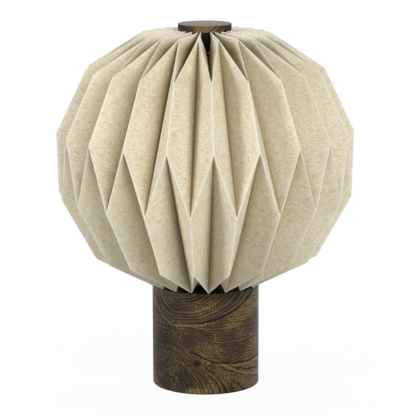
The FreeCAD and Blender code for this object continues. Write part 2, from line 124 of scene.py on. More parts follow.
class LampShade(bpy.types.PropertyGroup):
    """Folds of the shade by radius, and by drop below the ridges at the collar."""
    pleats: bpy.props.IntProperty(name="Pleats", description="Pleats round the shade", default=21, min=9)
    first_fold: angle("First fold", "Turn of the first point fold from the front", 3.1)
    paper: length("Paper", "Thickness of the laminated paper", 0.6 * MM)
    fold_round: length("Fold rounding", "Half the width of a rounded fold", 0.35 * MM)
    fold_strip: length("Zigzag rounding", "Width of the rounded strip along a zigzag fold", 0.9 * MM)
    gather_gap: length("Glue gap", "Gap between the collar and the gathered paper", 0.3 * MM)
    gather_depth: length("Gather depth", "Depth of the pleats at the collar", 33.0 * MM)
    ridge_rise: length("Ridge rise", "Rise of the ridges above the collar's top, beside the cap", 1.75 * MM)
    eave_ridge: length("Eave ridge radius", "Radius where a ridge meets the upper zigzag", 59.0 * MM)
    eave_ridge_drop: length("Eave ridge drop", "Drop of that place", 3.4 * MM)
    eave_point: length("Eave point radius", "Radius of the upper zigzag's points", 111.0 * MM)
    eave_point_drop: length("Eave point drop", "Drop of those points", 37.4 * MM)
    fork: length("Fork radius", "Radius where a point fold forks", 137.5 * MM)
    fork_drop: length("Fork drop", "Drop of the forks", 93.4 * MM)
    junction: length("Junction radius", "Radius where the middle zigzag meets the lower ridges", 136.5 * MM)
    junction_drop: length("Junction drop", "Drop of the junctions", 152.4 * MM)
    hem_ridge: length("Hem ridge radius", "Radius where a lower ridge ends at the hem", 105.5 * MM)
    hem_ridge_drop: length("Hem ridge drop", "Drop of that place", 208.4 * MM)
    hem_gap: length("Hem gap", "Gap between the base and the hem's points", 2.0 * MM)
    hem_drop: length("Hem drop", "Drop of the hem's points", 236.9 * MM)
    tuck_gap: length("Tuck gap", "Gap between the base and the tucked hem", 7.0 * MM)
    tuck_drop: length("Tuck drop", "Drop of the tucked hem", 222.4 * MM)
    swell: share("Swell", "Bulge of the bent facets, as a share of their own bend", 1.0, 2.0)
    bunch: angle("Bunching", "Turn of the gathered pleats towards the front of the collar", 10.2)
    front_open: angle("Opening", "Turn by which the front pleat stands open at the collar", 1.6)
    gather_turn: angle("Gather turn", "Turn of the front pleats on the collar, against the others", -1.2)
    bow: length("Bow", "How far the pleats' walls bow in where they are gathered", 2.2 * MM)
    linen: colour("Linen", "Usual colour of the linen face", 240, 233, 211)
    thread: colour("Dark threads", "Colour of the darker threads", 206, 191, 154)
    fleck: colour("Flecks", "Colour of the small flecks in the yarn", 128, 104, 66)
    # Painted shade: this tint darkens the valleys and the walls by the collar where shade falls, it is not
    # dust.
    valley_shade: colour("Dust", "Tint of the dust that settles in the valleys", 176, 157, 117)
    # Painted highlight along the ridges, together with their rubbed wear.
    ridge_wear_and_highlight: colour("Fold lines", "Colour of the rubbed ridges", 246, 244, 234)
    backing: colour("Backing", "Colour of the paper behind the linen and of its cut edge", 226, 221, 206)


class LampWood(bpy.types.PropertyGroup):
    """Turned wood of the base and the cap."""
    dark: colour("Dark wood", "Colour of the late rings", 20, 13, 8)
    brown: colour("Brown wood", "Usual colour of the stained wood", 64, 51, 36)
    pale: colour("Pale wood", "Colour of the paler rings", 98, 82, 58)
    gold: colour("Gold wood", "Colour of the brightest fibres", 152, 124, 74)
    # Painted sheen: the cap's top face is tinted towards this colour where light catches it.
    painted_top_sheen: colour("Bleached wood", "Colour of the cap's face where light has bleached it", 150, 140, 136)
    ring_pitch: length("Ring pitch", "Usual distance between growth rings", 2.3 * MM)
    edge: length("Edge", "Rounding of the base's edges", 0.8 * MM)
    roughness: share("Roughness", "Roughness of the oiled base", 0.42)
    cap_roughness: share("Cap roughness", "Roughness of the worn cap", 0.68)


class LampFittings(bpy.types.PropertyGroup):
    """Colours of the fittings."""
    plastic: colour("Plastic", "Moulded black plastic", 11, 10, 9)
    steel: colour("Wire steel", "Bright drawn wire", 138, 137, 134)
    zinc: colour("Zinc", "Zinc plated steel", 150, 154, 160)
    brass: colour("Brass", "Stamped brass", 205, 168, 96)
    tin: colour("Bulb shell", "Rolled aluminium", 205, 205, 203)
    iron: colour("Ballast", "Raw casting", 58, 57, 56)
    opal: colour("Opal glass", "Frosted bulb", 224, 223, 217)
    white: colour("White moulding", "Neck of the bulb", 214, 213, 209)
    steatite: colour("Ceramic", "Unglazed ceramic", 228, 224, 212)
    felt: colour("Felt", "Pressed felt", 44, 42, 40)
    fibre: colour("Fibre", "Vulcanised fibre", 118, 66, 42)


class LampStage(bpy.types.PropertyGroup):
    """Light and floor."""
    backdrop: colour("Backdrop", "Floor and background as they are seen", 255, 255, 255)
    floor: colour("Floor", "Floor that takes the shadow and throws light back", 196, 196, 196)
    sky: share("Surrounding light", "Strength of the even light all round", 0.02, 3.0)
    left: share("Left lamp", "Power of the lamp on the left", 15.2, 200.0)
    right: share("Right lamp", "Power of the large lamp on the right", 22.0, 200.0)
    back: share("Back lamps", "Power of each lamp behind", 12.0, 200.0)


# Node trees

class Flow:
    """An output of a node. Sums with it add the nodes that work them out."""

    def __init__(self, web, socket):
        self.web = web
        self.socket = socket

    def __add__(self, other):
        return self.web.maths("ADD", self, other)

    def __sub__(self, other):
        return self.web.maths("SUBTRACT", self, other)

    def __rsub__(self, other):
        return self.web.maths("SUBTRACT", other, self)

    def __mul__(self, other):
        return self.web.maths("MULTIPLY", self, other)

    def __truediv__(self, other):
        return self.web.maths("DIVIDE", self, other)

    def __rtruediv__(self, other):
        return self.web.maths("DIVIDE", other, self)

    def __abs__(self):
        return self.web.maths("ABSOLUTE", self)

    __radd__ = __add__
    __rmul__ = __mul__


class Web:
    """A node tree, emptied, with short calls that add nodes and link them."""

    def __init__(self, tree):
        self.tree = tree
        tree.nodes.clear()

    def feed(self, socket, value):
        if isinstance(value, Flow):
            self.tree.links.new(value.socket, socket)
        else:
            socket.default_value = (*value, 1.0) if socket.type == "RGBA" else value

    def put(self, kind, values=None, **settings):
        """Adds a node with its settings, and its inputs by name or number."""
        node = self.tree.nodes.new(kind)
        for name, value in settings.items():
            setattr(node, name, value)
        for key, value in (values or {}).items():
            self.feed(node.inputs[key], value)
        return node

    def flow(self, node, output=0):
        return Flow(self, node.outputs[output])

    def flows(self, node):
        return {socket.name: Flow(self, socket) for socket in node.outputs}

    def maths(self, operation, *values):
        return self.flow(self.put("ShaderNodeMath", dict(enumerate(values)), operation=operation))

    def most(self, first, *others):
        for value in others:
            first = self.maths("MAXIMUM", first, value)
        return first

    def ramp(self, value, start, end, first=0.0, last=1.0):
        """Smooth change from first to last as value goes from start to end."""
        values = dict(enumerate((value, start, end, first, last)))
        return self.flow(self.put("ShaderNodeMapRange", values, interpolation_type="SMOOTHSTEP"))

    def blend(self, amount, first, second):
        return self.flow(self.put("ShaderNodeMix", {0: amount, 2: first, 3: second}, data_type="FLOAT"))

    def tint(self, amount, first, second, way="MIX"):
        values = {0: amount, 6: first, 7: second}
        return self.flow(self.put("ShaderNodeMix", values, data_type="RGBA", blend_type=way), 2)

    def vector(self, x, y, z=0.0):
        return self.flow(self.put("ShaderNodeCombineXYZ", {0: x, 1: y, 2: z}))

    def split(self, vector):
        return self.flows(self.put("ShaderNodeSeparateXYZ", {0: vector})).values()

    def scaled(self, vector, factor):
        return self.flow(self.put("ShaderNodeVectorMath", {0: vector, "Scale": factor}, operation="SCALE"))

    def noise(self, place, scale=1.0, detail=2.0, roughness=0.5):
        values = {"Vector": place, "Scale": scale, "Detail": detail, "Roughness": roughness}
        return self.flow(self.put("ShaderNodeTexNoise", values))

    def bump(self, height, distance, strength):
        values = {"Height": height, "Distance": distance, "Strength": strength}
        return self.flow(self.put("ShaderNodeBump", values), "Normal")

    def place(self):
        """Coordinates of the piece itself, in millimetres."""
        return self.scaled(self.flow(self.put("ShaderNodeTexCoord"), "Object"), 1 / MM)

    def group(self, name, **values):
        return self.flows(self.put("ShaderNodeGroup", values, node_tree=bpy.data.node_groups[name]))


VALUE = "NodeSocketFloat"
VECTOR = "NodeSocketVector"
COLOUR = "NodeSocketColor"


def new_group(name, takes, gives):
    """An empty shader group: its web, what it takes by name and the sockets of what it gives."""
    tree = bpy.data.node_groups.new(name, "ShaderNodeTree")
    for way, sockets in (("INPUT", takes), ("OUTPUT", gives)):
        for label, kind in sockets.items():
            tree.interface.new_socket(label, in_out=way, socket_type=kind)
    web = Web(tree)
    return web, web.flows(web.put("NodeGroupInput")), web.put("NodeGroupOutput").inputs


def mottle_group():
    """Soft unevenness of a moulded, cast or plated surface: a value about one half, and a fine height."""
    web, source, sink = new_group(
        "mottle", {"Place": VECTOR, "Size": VALUE, "Grain": VALUE}, {"Tone": VALUE, "Height": VALUE})
    broad = web.noise(source["Place"], 1 / source["Size"], 3.0)
    fine = web.noise(source["Place"], 1 / source["Grain"])
    web.feed(sink["Tone"], broad * 0.6 + fine * 0.4)
    web.feed(sink["Height"], fine)


def edge_rub_group():
    """Mask of edges that hands have rubbed, broken up by noise. A turned piece marks its edges as worn."""
    web, source, sink = new_group("edge_rub", {"Place": VECTOR, "Size": VALUE}, {"Mask": VALUE})
    worn = web.flow(web.put("ShaderNodeAttribute", attribute_name="worn"), "Fac")
    patches = web.noise(source["Place"], 1 / source["Size"], 4.0, 0.6)
    web.feed(sink["Mask"], worn * web.ramp(patches, 0.35, 0.65))


def wood_grain_group():
    """Stained wood from a ring distance, a distance along the grain and a place, in millimetres."""
    web, source, sink = new_group(
        "wood_grain",
        {"Ring": VALUE, "Along": VALUE, "Place": VECTOR, "Pitch": VALUE, "Shine": VALUE, "Stain": VALUE,
         "Dark": COLOUR, "Brown": COLOUR, "Pale": COLOUR, "Gold": COLOUR},
        {"Color": COLOUR, "Tone": VALUE, "Height": VALUE})
    ring, along, place = source["Ring"], source["Along"], source["Place"]
    shine, stain_and_shade = source["Shine"], source["Stain"]
    # Rings of uneven width, some strong and some faint: a thin dark line with a bright one beside it
    drift = web.noise(web.vector(ring * 0.11, along * 0.012))
    phase = ring / source["Pitch"] + drift * 2.6
    within = web.maths("FRACT", phase)
    number = web.maths("FLOOR", phase)
    chance = web.put("ShaderNodeTexWhiteNoise", noise_dimensions="1D")
    web.feed(chance.inputs["W"], number)
    strong = web.ramp(web.flow(chance), 0.1, 0.95, 0.1, 1.0)
    late = web.ramp(within, 0.66, 0.8) * web.ramp(within, 0.92, 1.0, 1.0, 0.0) * strong
    early = web.ramp(within, 0.0, 0.06) * web.ramp(within, 0.1, 0.34, 1.0, 0.0) * strong
    # Fibres run with the rings, flecks and pores are short, blotches are broad
    fibre = web.noise(web.vector(ring * 1.4, along * 0.11, 5.0), 1.0, 3.0, 0.65)
    fleck = web.noise(place, 1.35, 1.0)
    pore = web.noise(place, 1.6, 1.0)
    blotch = web.noise(place, 0.04, 1.0)
    tone = (
        0.53 + (fibre - 0.5) * 2.3 + (fleck - 0.5) * 1.6 + (blotch - 0.5) * 0.6
        - web.ramp(pore, 0.58, 0.72) * 0.5 + early * 0.5 - late * 1.7 + shine * 0.45 - stain_and_shade * 0.8)
    lit = web.ramp(blotch + shine * 0.4, 0.36, 0.62)
    gold = web.ramp(fleck, 0.52, 0.68) * lit + early * 0.35 + shine * 0.32
    body = web.tint(web.ramp(tone, -0.05, 0.42), source["Dark"], source["Brown"])
    body = web.tint(web.ramp(tone, 0.42, 0.9), body, source["Pale"])
    gilded = web.ramp(gold, 0.0, 1.0) * web.ramp(tone, 0.15, 0.6)
    web.feed(sink["Color"], web.tint(gilded, body, source["Gold"]))
    web.feed(sink["Tone"], tone)
    web.feed(sink["Height"], fibre * 0.5 - late * 0.5 + fleck * 0.3)


# Materials

def new_material(name):
    """A material and its web. The imported materials have the slots' names, so it gets another one."""
    material = bpy.data.materials.new(name + "_finish")
    material.use_nodes = True
    return material, Web(material.node_tree)


def surface(web, values):
    """Ends a material with a Principled shader."""
    shader = web.put("ShaderNodeBsdfPrincipled", values)
    web.put("ShaderNodeOutputMaterial", {"Surface": web.flow(shader)})


def moulded(name, tone, roughness, size=6.0, grain=0.35, spread=0.25, metallic=0.0, rub=1.6, height=0.03,
            gloss=0.5):
    """Plastic, ceramic, glass or metal with soft mottling, uneven gloss and edges rubbed paler."""
    _, web = new_material(name)
    place = web.place()
    mottle = web.group("mottle", Place=place, Size=size, Grain=grain)
    rubbed = web.group("edge_rub", Place=place, Size=size / 2)["Mask"]
    darker = [c * (1 - spread) for c in tone]
    paler = [min(1.0, c * (1 + spread)) for c in tone]
    worn = [min(1.0, c * rub + 0.01) for c in tone]
    body = web.tint(web.ramp(mottle["Tone"], 0.35, 0.65), darker, paler)
    surface(web, {
        "Base Color": web.tint(rubbed, body, worn),
        "Roughness": web.ramp(mottle["Tone"], 0.3, 0.7, roughness * 0.8, roughness * 1.2),
        "Metallic": metallic,
        "Specular IOR Level": gloss,
        "Normal": web.bump(mottle["Height"], height * MM, 0.4)})


def wood_finish(web, look, place, roughness, **grain):
    """Colour of a wood with its edges rubbed paler, and its other shader values."""
    wood = web.group(
        "wood_grain", Place=place, Pitch=look.ring_pitch / MM, Dark=look.dark, Brown=look.brown,
        Pale=look.pale, Gold=look.gold, **grain)
    rubbed = web.group("edge_rub", Place=place, Size=5.0)["Mask"]
    return web.tint(rubbed * 0.5, wood["Color"], look.pale), {
        "Roughness": web.ramp(wood["Tone"], 0.0, 1.0, roughness + 0.1, roughness - 0.08),
        "Normal": web.bump(wood["Height"], 0.12 * MM, 0.6)}


def apart(web, across, up):
    """Length of a level and an upright distance together."""
    return web.maths("SQRT", across * across + up * up)


def near_line(web, distance, wide):
    """One on a line and zero beyond its width to either side."""
    return web.ramp(abs(distance), wide * 0.3, wide, 1.0, 0.0)


# Figure of the base's wood, in millimetres across from the axis and up from the foot
BOWL_X, BOWL_Z, BOWL_DEEP = -27.0, 105.0, 40.0
BOWL_LEFT, BOWL_RIGHT = 24.0, 76.0
HUMP_X, HUMP_Z, HUMP_WIDE, HUMP_HIGH = -16.0, 28.0, 14.0, 13.0
FAN_X, FAN_Z, FAN_TURN, FAN_CURL = -46.0, -3.0, 33.0, 0.45
KNOT_X, KNOT_Z = -8.2, 29.5
SEAM = 0.6


def base_wood(look):
    """Stained wood with bowl-shaped rings above, fanning rings below and a knot between them in front, and
    painted shade at the foot, on the left and under the shade.
    """
    material, web = new_material("turned_wood")
    place = web.place()
    warp = web.noise(place, 0.025) - 0.5
    ripple = web.noise(place, 0.09, 0.5) - 0.5
    x, y, height = web.split(place)
    # The back half has the same rings, moved along
    behind = web.most(y, 0.0)
    x = x + behind * 0.45 + ripple * 3.0
    z = height + behind * 0.2 + warp * 5.0 + ripple * 2.0
    # A bowl hangs from above, steep on its left
    out = x - BOWL_X
    leaned = out / web.ramp(out, -4.0, 4.0, BOWL_LEFT / BOWL_DEEP, BOWL_RIGHT / BOWL_DEEP)
    bowl = apart(web, leaned, z - BOWL_Z)
    under = bowl - BOWL_DEEP
    # Rings under the bowl draw together on the left
    closed = web.ramp(x, 24.0, -34.0, 1.0, 0.4)
    middle = BOWL_DEEP - (z + (BOWL_DEEP - BOWL_Z)) / closed
    # Rings below fan out from the lower left, under a line that rises over the knot
    hump = (x - HUMP_X) / HUMP_WIDE
    over = z - HUMP_Z - HUMP_HIGH / (hump * hump + 1.0)
    from_left, from_foot = x - FAN_X, z - FAN_Z
    inner = web.maths("MINIMUM", from_left, FAN_TURN)
    beyond = web.most(from_left - FAN_TURN, 0.0)
    spread = inner * inner + beyond * (2 * FAN_TURN) - beyond * beyond * FAN_CURL + from_foot * from_foot
    fan = web.maths("SQRT", web.most(spread, 0.0))
    ring = web.blend(web.ramp(under, -SEAM, SEAM), bowl, middle)
    ring = web.blend(web.ramp(over, SEAM, -SEAM), ring, fan + 2 * BOWL_DEEP)
    # Knot at the front, a cone that runs inwards
    knot = apart(web, x - KNOT_X, z - KNOT_Z)
    front = web.ramp(y, -15.0, -35.0)
    ring = web.blend(web.ramp(knot, 7.5, 4.5) * front, ring, knot * 1.6)
    # Bright along the bowl's left edge, right of the knot, at the right and at the foot
    shine = web.most(
        near_line(web, under, 1.3) * web.ramp(x, 20.0, -5.0),
        near_line(web, over + 2.2, 1.4) * web.ramp(x, 4.0, 16.0),
        near_line(web, under - 4.0, 10.0) * web.ramp(x, 8.0, 32.0) * 0.6,
        web.ramp(z, 7.0, 2.0) * web.ramp(abs(x + 8.0), 14.0, 6.0) * front)
    # Dark in the knot, on the line over it and inside the bowl; painted shade at the foot, at the left and
    # under the shade
    stain_and_shade = web.most(
        web.ramp(knot, 4.2, 1.0) * front * 1.1,
        near_line(web, over, 1.1) * web.ramp(x, -18.0, -10.0) * 1.1,
        # Painted contact shadow along the foot
        web.ramp(height, 1.5, 0.4),
        near_line(web, under + 1.6, 1.1) * web.ramp(x, -12.0, 4.0),
        # Painted shade on the left side
        web.ramp(x, -8.0, -38.0) * near_line(web, z - 44.0, 70.0) * 0.6,
        # Painted shadow that the lamp shade casts on the top of the base
        web.ramp(z, 88.0, 95.0, 0.0, 0.3))
    along = x * 0.8 + y * 0.6 - z * 0.25
    tone, values = wood_finish(
        web, look, place, look.roughness, Ring=ring, Along=along, Shine=shine, Stain=stain_and_shade)
    surface(web, {"Base Color": tone, "Specular IOR Level": 0.12, **values})
    return material


def cap_wood(look, crown):
    """The same wood, its rings crossing the disc, with a painted sheen on its top face at a height in
    millimetres and painted shading along its rim.
    """
    material, web = new_material("cap_wood")
    place = web.place()
    warp = web.noise(place, 0.035) - 0.5
    x, y, z = web.split(place)
    ring = x * 0.8 - abs(x) * 0.35 - z * 0.9 + y * 0.15 + warp * 10.0
    face = web.ramp(z, crown - 0.6, crown - 0.1)
    rim = 1.0 - face
    sides = abs(x - 1.0)
    # Painted shading on the rim: lighter in its middle, darker towards its left and right sides.
    tone, values = wood_finish(
        web, look, place, look.cap_roughness, Ring=ring, Along=y - x * 0.15,
        Shine=web.ramp(sides, 14.0, 5.0) * rim, Stain=web.ramp(sides, 8.0, 19.0, 0.0, 0.4) * rim)
    # Painted sheen on the top face, where light catches it.
    painted_top_sheen = web.tint(face * 0.66, tone, look.painted_top_sheen)
    surface(web, {"Base Color": painted_top_sheen, "Specular IOR Level": 0.2, **values})
    return material


# Threads of the linen: their pitch in millimetres, and how fine their unevenness is across and along them
THREAD_PITCH = 1.1
THREAD_ACROSS, THREAD_ALONG = 1.1, 0.11


def linen_paper(sizes, folds):
    """Linen face of the paper: uneven threads, flecks, a fine weave, ridges rubbed and given a painted
    highlight, and painted shade in the valleys.
    """
    material, web = new_material("linen_paper")
    sheet = web.flow(web.put("ShaderNodeUVMap", uv_map="flat_sheet"))
    u, v, _ = web.split(web.scaled(sheet, 1 / MM))
    weft = web.noise(web.vector(u * THREAD_ALONG, v * THREAD_ACROSS), 1.0, 2.0, 0.7)
    warp = web.noise(web.vector(u * THREAD_ACROSS, v * THREAD_ALONG, 7.0), 1.0, 2.0, 0.7)
    cloud = web.noise(web.vector(u * 0.02, v * 0.02, 3.0))
    uneven = weft * 0.48 + warp * 0.38 + cloud * 0.14
    slub = web.noise(web.vector(u * 0.42, v * 0.9, 11.0), 1.0, 1.0)
    face = web.tint(web.ramp(uneven, 0.33, 0.62, 1.0, 0.0), sizes.linen, sizes.thread)
    face = web.tint(web.ramp(slub, 0.71, 0.755) * 0.9, face, sizes.fleck)
    ridges, valleys = fold_masks(web, u, v, folds)
    # Painted shade in the valleys and deep in the gathered pleats by the collar.
    face = web.tint(valleys, face, sizes.valley_shade, "MULTIPLY")
    pick, end = (web.maths("SINE", way * (TURN / THREAD_PITCH)) for way in (u, v))
    surface(web, {
        # Painted highlight and rubbed wear along the ridges.
        "Base Color": web.tint(ridges * 0.85, face, sizes.ridge_wear_and_highlight),
        "Roughness": web.ramp(uneven, 0.3, 0.7, 0.78, 0.92),
        "Specular IOR Level": 0.25,
        "Normal": web.bump(pick * end * 0.35 + weft * 0.8 + warp * 0.8, 0.2 * MM, 0.5)})
    return material


def fold_masks(web, u, v, folds):
    """Masks along the outward folds, for rubbed wear and a painted highlight, and along the inward folds and
    the walls by the collar, for painted shade; from the flat sheet's pattern in millimetres.
    """
    half = folds.flat_half / MM
    point, ridge = ([place / MM for place in line] for line in (folds.flat_point, folds.flat_ridge))
    x = web.maths("PINGPONG", u, half)
    to_ridge = half - x

    # Bright line along a ridge with a soft glow beside it: rubbed wear and a painted highlight.
    def line(distance):
        return web.most(web.ramp(distance, 0.3, 1.25, 1.0, 0.0), web.ramp(distance, 0.0, 5.0, 0.34, 0.0))

    # Painted shade beside an inward fold.
    def groove(distance):
        return web.ramp(distance, 0.4, 2.2, 0.4, 0.0) + web.ramp(distance, 0.0, 13.0, 0.36, 0.0)

    def between(start, end):
        return web.maths("GREATER_THAN", v, start) * web.maths("LESS_THAN", v, end)

    def zigzag(number):
        slope = (ridge[number] - point[number]) / half
        return line(abs(v - x * slope - point[number]) * (1 / math.hypot(1, slope)))

    def above(number):
        """One above a zigzag, and zero below it."""
        return web.maths("LESS_THAN", v, x * ((ridge[number] - point[number]) / half) + point[number])

    ridges = web.most(
        line(x) * between(point[1], point[2]),
        line(to_ridge) * between(-1.0, ridge[1]),
        line(to_ridge) * between(ridge[2], ridge[3]),
        zigzag(1), zigzag(2), zigzag(3))
    upper, middle, hem = above(1), above(2), above(3)
    # Painted shade on the walls deep in the gathered pleats near the collar.
    throat = web.ramp(v, 15.0, 100.0, 1.0, 0.0) * web.ramp(to_ridge, 1.0, 14.0)
    valleys = web.most(
        upper * web.most(groove(x), throat),
        middle * (1.0 - upper) * groove(to_ridge),
        hem * (1.0 - middle) * groove(x))
    return ridges, valleys


def backing_paper(sizes):
    """Back and cut edge of the paper: matt fibres."""
    material, web = new_material("backing_paper")
    fibres = web.noise(web.place(), 1.4, 4.0, 0.65)
    darker = [c * 0.88 for c in sizes.backing]
    surface(web, {
        "Base Color": web.tint(web.ramp(fibres, 0.3, 0.7), darker, sizes.backing),
        "Roughness": web.ramp(fibres, 0.3, 0.7, 0.82, 0.95),
        "Specular IOR Level": 0.25,
        "Normal": web.bump(fibres, 0.05 * MM, 0.4)})
    return material


def felt_cloth(look):
    """Pressed felt: tangled fibres and a soft sheen."""
    _, web = new_material("felt")
    tangle = web.noise(web.place(), 0.9, 5.0, 0.75)
    darker = [c * 0.55 for c in look.felt]
    surface(web, {
        "Base Color": web.tint(web.ramp(tangle, 0.35, 0.65), darker, look.felt),
        "Roughness": web.ramp(tangle, 0.3, 0.7, 0.9, 1.0),
        "Sheen Weight": 0.25,
        "Normal": web.bump(tangle, 0.25 * MM, 0.9)})


METAL = {"spread": 0.15, "metallic": 1.0}
FINE_METAL = {"size": 3.0, "spread": 0.12, "metallic": 1.0}
SATIN = {"rub": 1.0, "gloss": 0.3}
# Colour, roughness and other settings of each moulded, cast or rolled finish
FINISHES = {
    "black_plastic": ("plastic", 0.55, {"rub": 2.2, "gloss": 0.15}),
    "black_nylon": ("plastic", 0.6, {"rub": 1.8, "gloss": 0.25}),
    "carrier_steel": ("steel", 0.28, {"rub": 1.15, **FINE_METAL}),
    "zinc_steel": ("zinc", 0.5, {"size": 4.0, "rub": 1.1, **METAL}),
    "contact_brass": ("brass", 0.28, {"size": 4.0, "rub": 1.15, **METAL}),
    "bulb_metal": ("tin", 0.3, {"rub": 1.1, **FINE_METAL}),
    "ballast_iron": ("iron", 0.75, {"size": 3.0, "grain": 1.2, "spread": 0.3, "height": 0.3}),
    "frosted_glass": ("opal", 0.52, {"size": 9.0, "spread": 0.02, "height": 0.01, **SATIN}),
    "bulb_plastic": ("white", 0.45, {"size": 7.0, "spread": 0.03, **SATIN}),
    "bulb_black": ("plastic", 0.12, {"size": 4.0, "rub": 1.5}),
    "white_ceramic": ("steatite", 0.6, {"size": 4.0, "spread": 0.06, "rub": 1.05}),
    "fibre": ("fibre", 0.7, {"size": 2.5, "grain": 0.6}),
}


def finishes():
    """Every finish of the fittings, by the record's slot. The first call makes them."""
    look = bpy.context.scene.lamp_fittings
    if "mottle" not in bpy.data.node_groups:
        mottle_group()
        edge_rub_group()
        wood_grain_group()
        for slot, (tone, roughness, settings) in FINISHES.items():
            moulded(slot, getattr(look, tone), roughness, **settings)
        felt_cloth(look)
    return {slot: bpy.data.materials[slot + "_finish"] for slot in ("felt", *FINISHES)}


# Meshes

CIRCLE_STEPS = 96
THREAD_STEPS = 12
ARC_STEPS = 5
SHARP = math.radians(40)
WELD = 1e-6


def rounded(corners):
    """Profile with an arc at each corner that has a rounding: points of (across, up, worn)."""
    points = []
    count = len(corners)
    for index, (across, up, size) in enumerate(corners):
        here = Vector((across, up))
        if not size:
            points.append((across, up, 0.0))
            continue
        before = (Vector(corners[index - 1][:2]) - here).normalized()
        after = (Vector(corners[(index + 1) % count][:2]) - here).normalized()
        half = before.angle(after) / 2
        middle = here + (before + after).normalized() * (size / math.sin(half))
        start = here + before * (size / math.tan(half)) - middle
        turn = start.angle_signed(here + after * (size / math.tan(half)) - middle)
        for step in range(ARC_STEPS + 1):
            arm = Matrix.Rotation(-turn * step / ARC_STEPS, 2) @ start
            points.append((middle.x + arm.x, middle.y + arm.y, math.sin(math.pi * step / ARC_STEPS)))
    return points


def link_mesh(bm, name, *materials):
    """Links a finished mesh as a new object."""
    mesh = bpy.data.meshes.new(name)
    bm.to_mesh(mesh)
    bm.free()
    for material in materials:
        mesh.materials.append(material)
    piece = bpy.data.objects.new(name, mesh)
    bpy.context.scene.collection.objects.link(piece)
    return piece


def lofted(name, rings, material, looped=True):
    """Piece skinned over rings of (point, worn). The last ring joins the first, or the ends are closed."""
    bm = bmesh.new()
    worn = bm.verts.layers.float.new("worn")
    loops = []
    for ring in rings:
        loops.append([bm.verts.new(point) for point, _ in ring])
        for vert, (_, rub) in zip(loops[-1], ring):
            vert[worn] = rub
    for first, second in zip(loops, loops[1:] + loops[:1] if looped else loops[1:]):
        for corners in zip(first, first[1:] + first[:1], second[1:] + second[:1], second):
            bm.faces.new(corners)
    if not looped:
        bm.faces.new(loops[0])
        bm.faces.new(loops[-1])
    bmesh.ops.remove_doubles(bm, verts=bm.verts[:], dist=WELD)
    bmesh.ops.recalc_face_normals(bm, faces=bm.faces[:])
    for face in bm.faces:
        face.smooth = True
    for edge in bm.edges:
        if len(edge.link_faces) == 2 and edge.calc_face_angle() > SHARP:
            edge.smooth = False
    return link_mesh(bm, name, material)


def circle(steps):
    return [TURN * step / steps for step in range(steps)]


def turned(name, corners, material, steps=CIRCLE_STEPS, flute=None):
    """Piece of revolution from a closed profile of (radius, height), or with a rounding in millimetres.

    flute gives a share of the radius at an angle."""
    rings = []
    for radius, height, rub in rounded([(across, up, sum(size) * MM) for across, up, *size in corners]):
        shares = [(turn, flute(turn, radius) if flute else 1.0) for turn in circle(steps)]
        rings.append([(at(radius * kept, height, turn), rub) for turn, kept in shares])
    return lofted(name, rings, material)


def band(inner, outer, low, high, *roundings):
    """Profile of a plain ring, with its corners' roundings in millimetres from the inner foot outwards."""
    corners = ((inner, low), (outer, low), (outer, high), (inner, high))
    return [(*corner, size) for corner, size in zip(corners, roundings)]


def settle(piece, body, slot, *nodes):
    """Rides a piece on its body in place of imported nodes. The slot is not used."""
    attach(piece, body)
    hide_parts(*nodes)


def fit_turned(name, node, body, slot, corners, **ways):
    """Turns a piece in its slot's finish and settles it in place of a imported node."""
    piece = turned(name, corners, finishes()[slot], **ways)
    settle(piece, body, slot, node)


def fit_thread(name, node, body, slot, depth, pitch, lead=0.0):
    """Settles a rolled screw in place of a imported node, its thread plain at the ends."""
    low, high, outer = span(node)
    rows = int((high - low) / pitch * THREAD_STEPS)
    rings = [[(at(0.0, low), 0.0)] * CIRCLE_STEPS]
    for row in range(rows + 1):
        height = low + (high - low) * row / rows
        fade = min(1.0, (height - low) / pitch, (high - height) / (pitch + lead))
        ring = []
        for turn in circle(CIRCLE_STEPS):
            crest = (0.5 + 0.5 * math.cos(TURN * height / pitch - turn)) * fade
            ring.append((at(outer - depth + depth * crest, height, turn), crest))
        rings.append(ring)
    rings.append([(at(0.0, high), 0.0)] * CIRCLE_STEPS)
    settle(lofted(name, rings, finishes()[slot]), body, slot, node)


# Shade

ACROSS = 8
DOWN = (8, 12, 12, 5)
HEM_BAND = 3
# Whether the fold along each band stands out, at the point line and at the ridge line
OUTWARD = ((-1, 1), (1, -1), (-1, 1), (0, -1))
# Greatest share of a band that one zigzag's rounding takes up, and how deep its sharp row is drawn in
STRIP_MOST = 0.3
STRIP_DEEP = 0.55
# Share of the upper band over which the gathered walls' bow dies out, and how folds fade towards their ends
BOW_END = 0.6
FOLD_FADE = 3 * MM
FLAT = 1e-3


def running(line):
    """Distances along a fold line."""
    total = [0.0]
    for before, after in zip(line, line[1:]):
        total.append(total[-1] + (after - before).length)
    return total


class Folds:
    """Fold corners of half a pleat on the paper's middle, and their places down the flat sheet."""

    def __init__(self, sizes):
        self.sizes = sizes
        self.pitch = TURN / sizes.pleats
        gather = reach("collar") + sizes.gather_gap
        ridge_height = top("collar") + sizes.ridge_rise
        base = reach("base_body")
        points = [
            (gather, sizes.gather_depth),
            (sizes.eave_point, sizes.eave_point_drop),
            (sizes.fork, sizes.fork_drop),
            (base + sizes.hem_gap, sizes.hem_drop),
        ]
        ridges = [
            (gather, 0.0),
            (sizes.eave_ridge, sizes.eave_ridge_drop),
            (sizes.junction, sizes.junction_drop),
            (sizes.hem_ridge, sizes.hem_ridge_drop),
            (base + sizes.tuck_gap, sizes.tuck_drop),
        ]
        self.point = [at(radius, ridge_height - drop) for radius, drop in points]
        self.ridge = [at(radius, ridge_height - drop, self.pitch / 2) for radius, drop in ridges]
        self.point_side = at(1, 0, QUARTER)
        self.ridge_side = at(1, 0, self.pitch / 2 + QUARTER)
        self.flat_point = running(self.point)
        self.flat_ridge = running(self.ridge)
        self.flat_half = (self.ridge[0] - self.point[0]).length


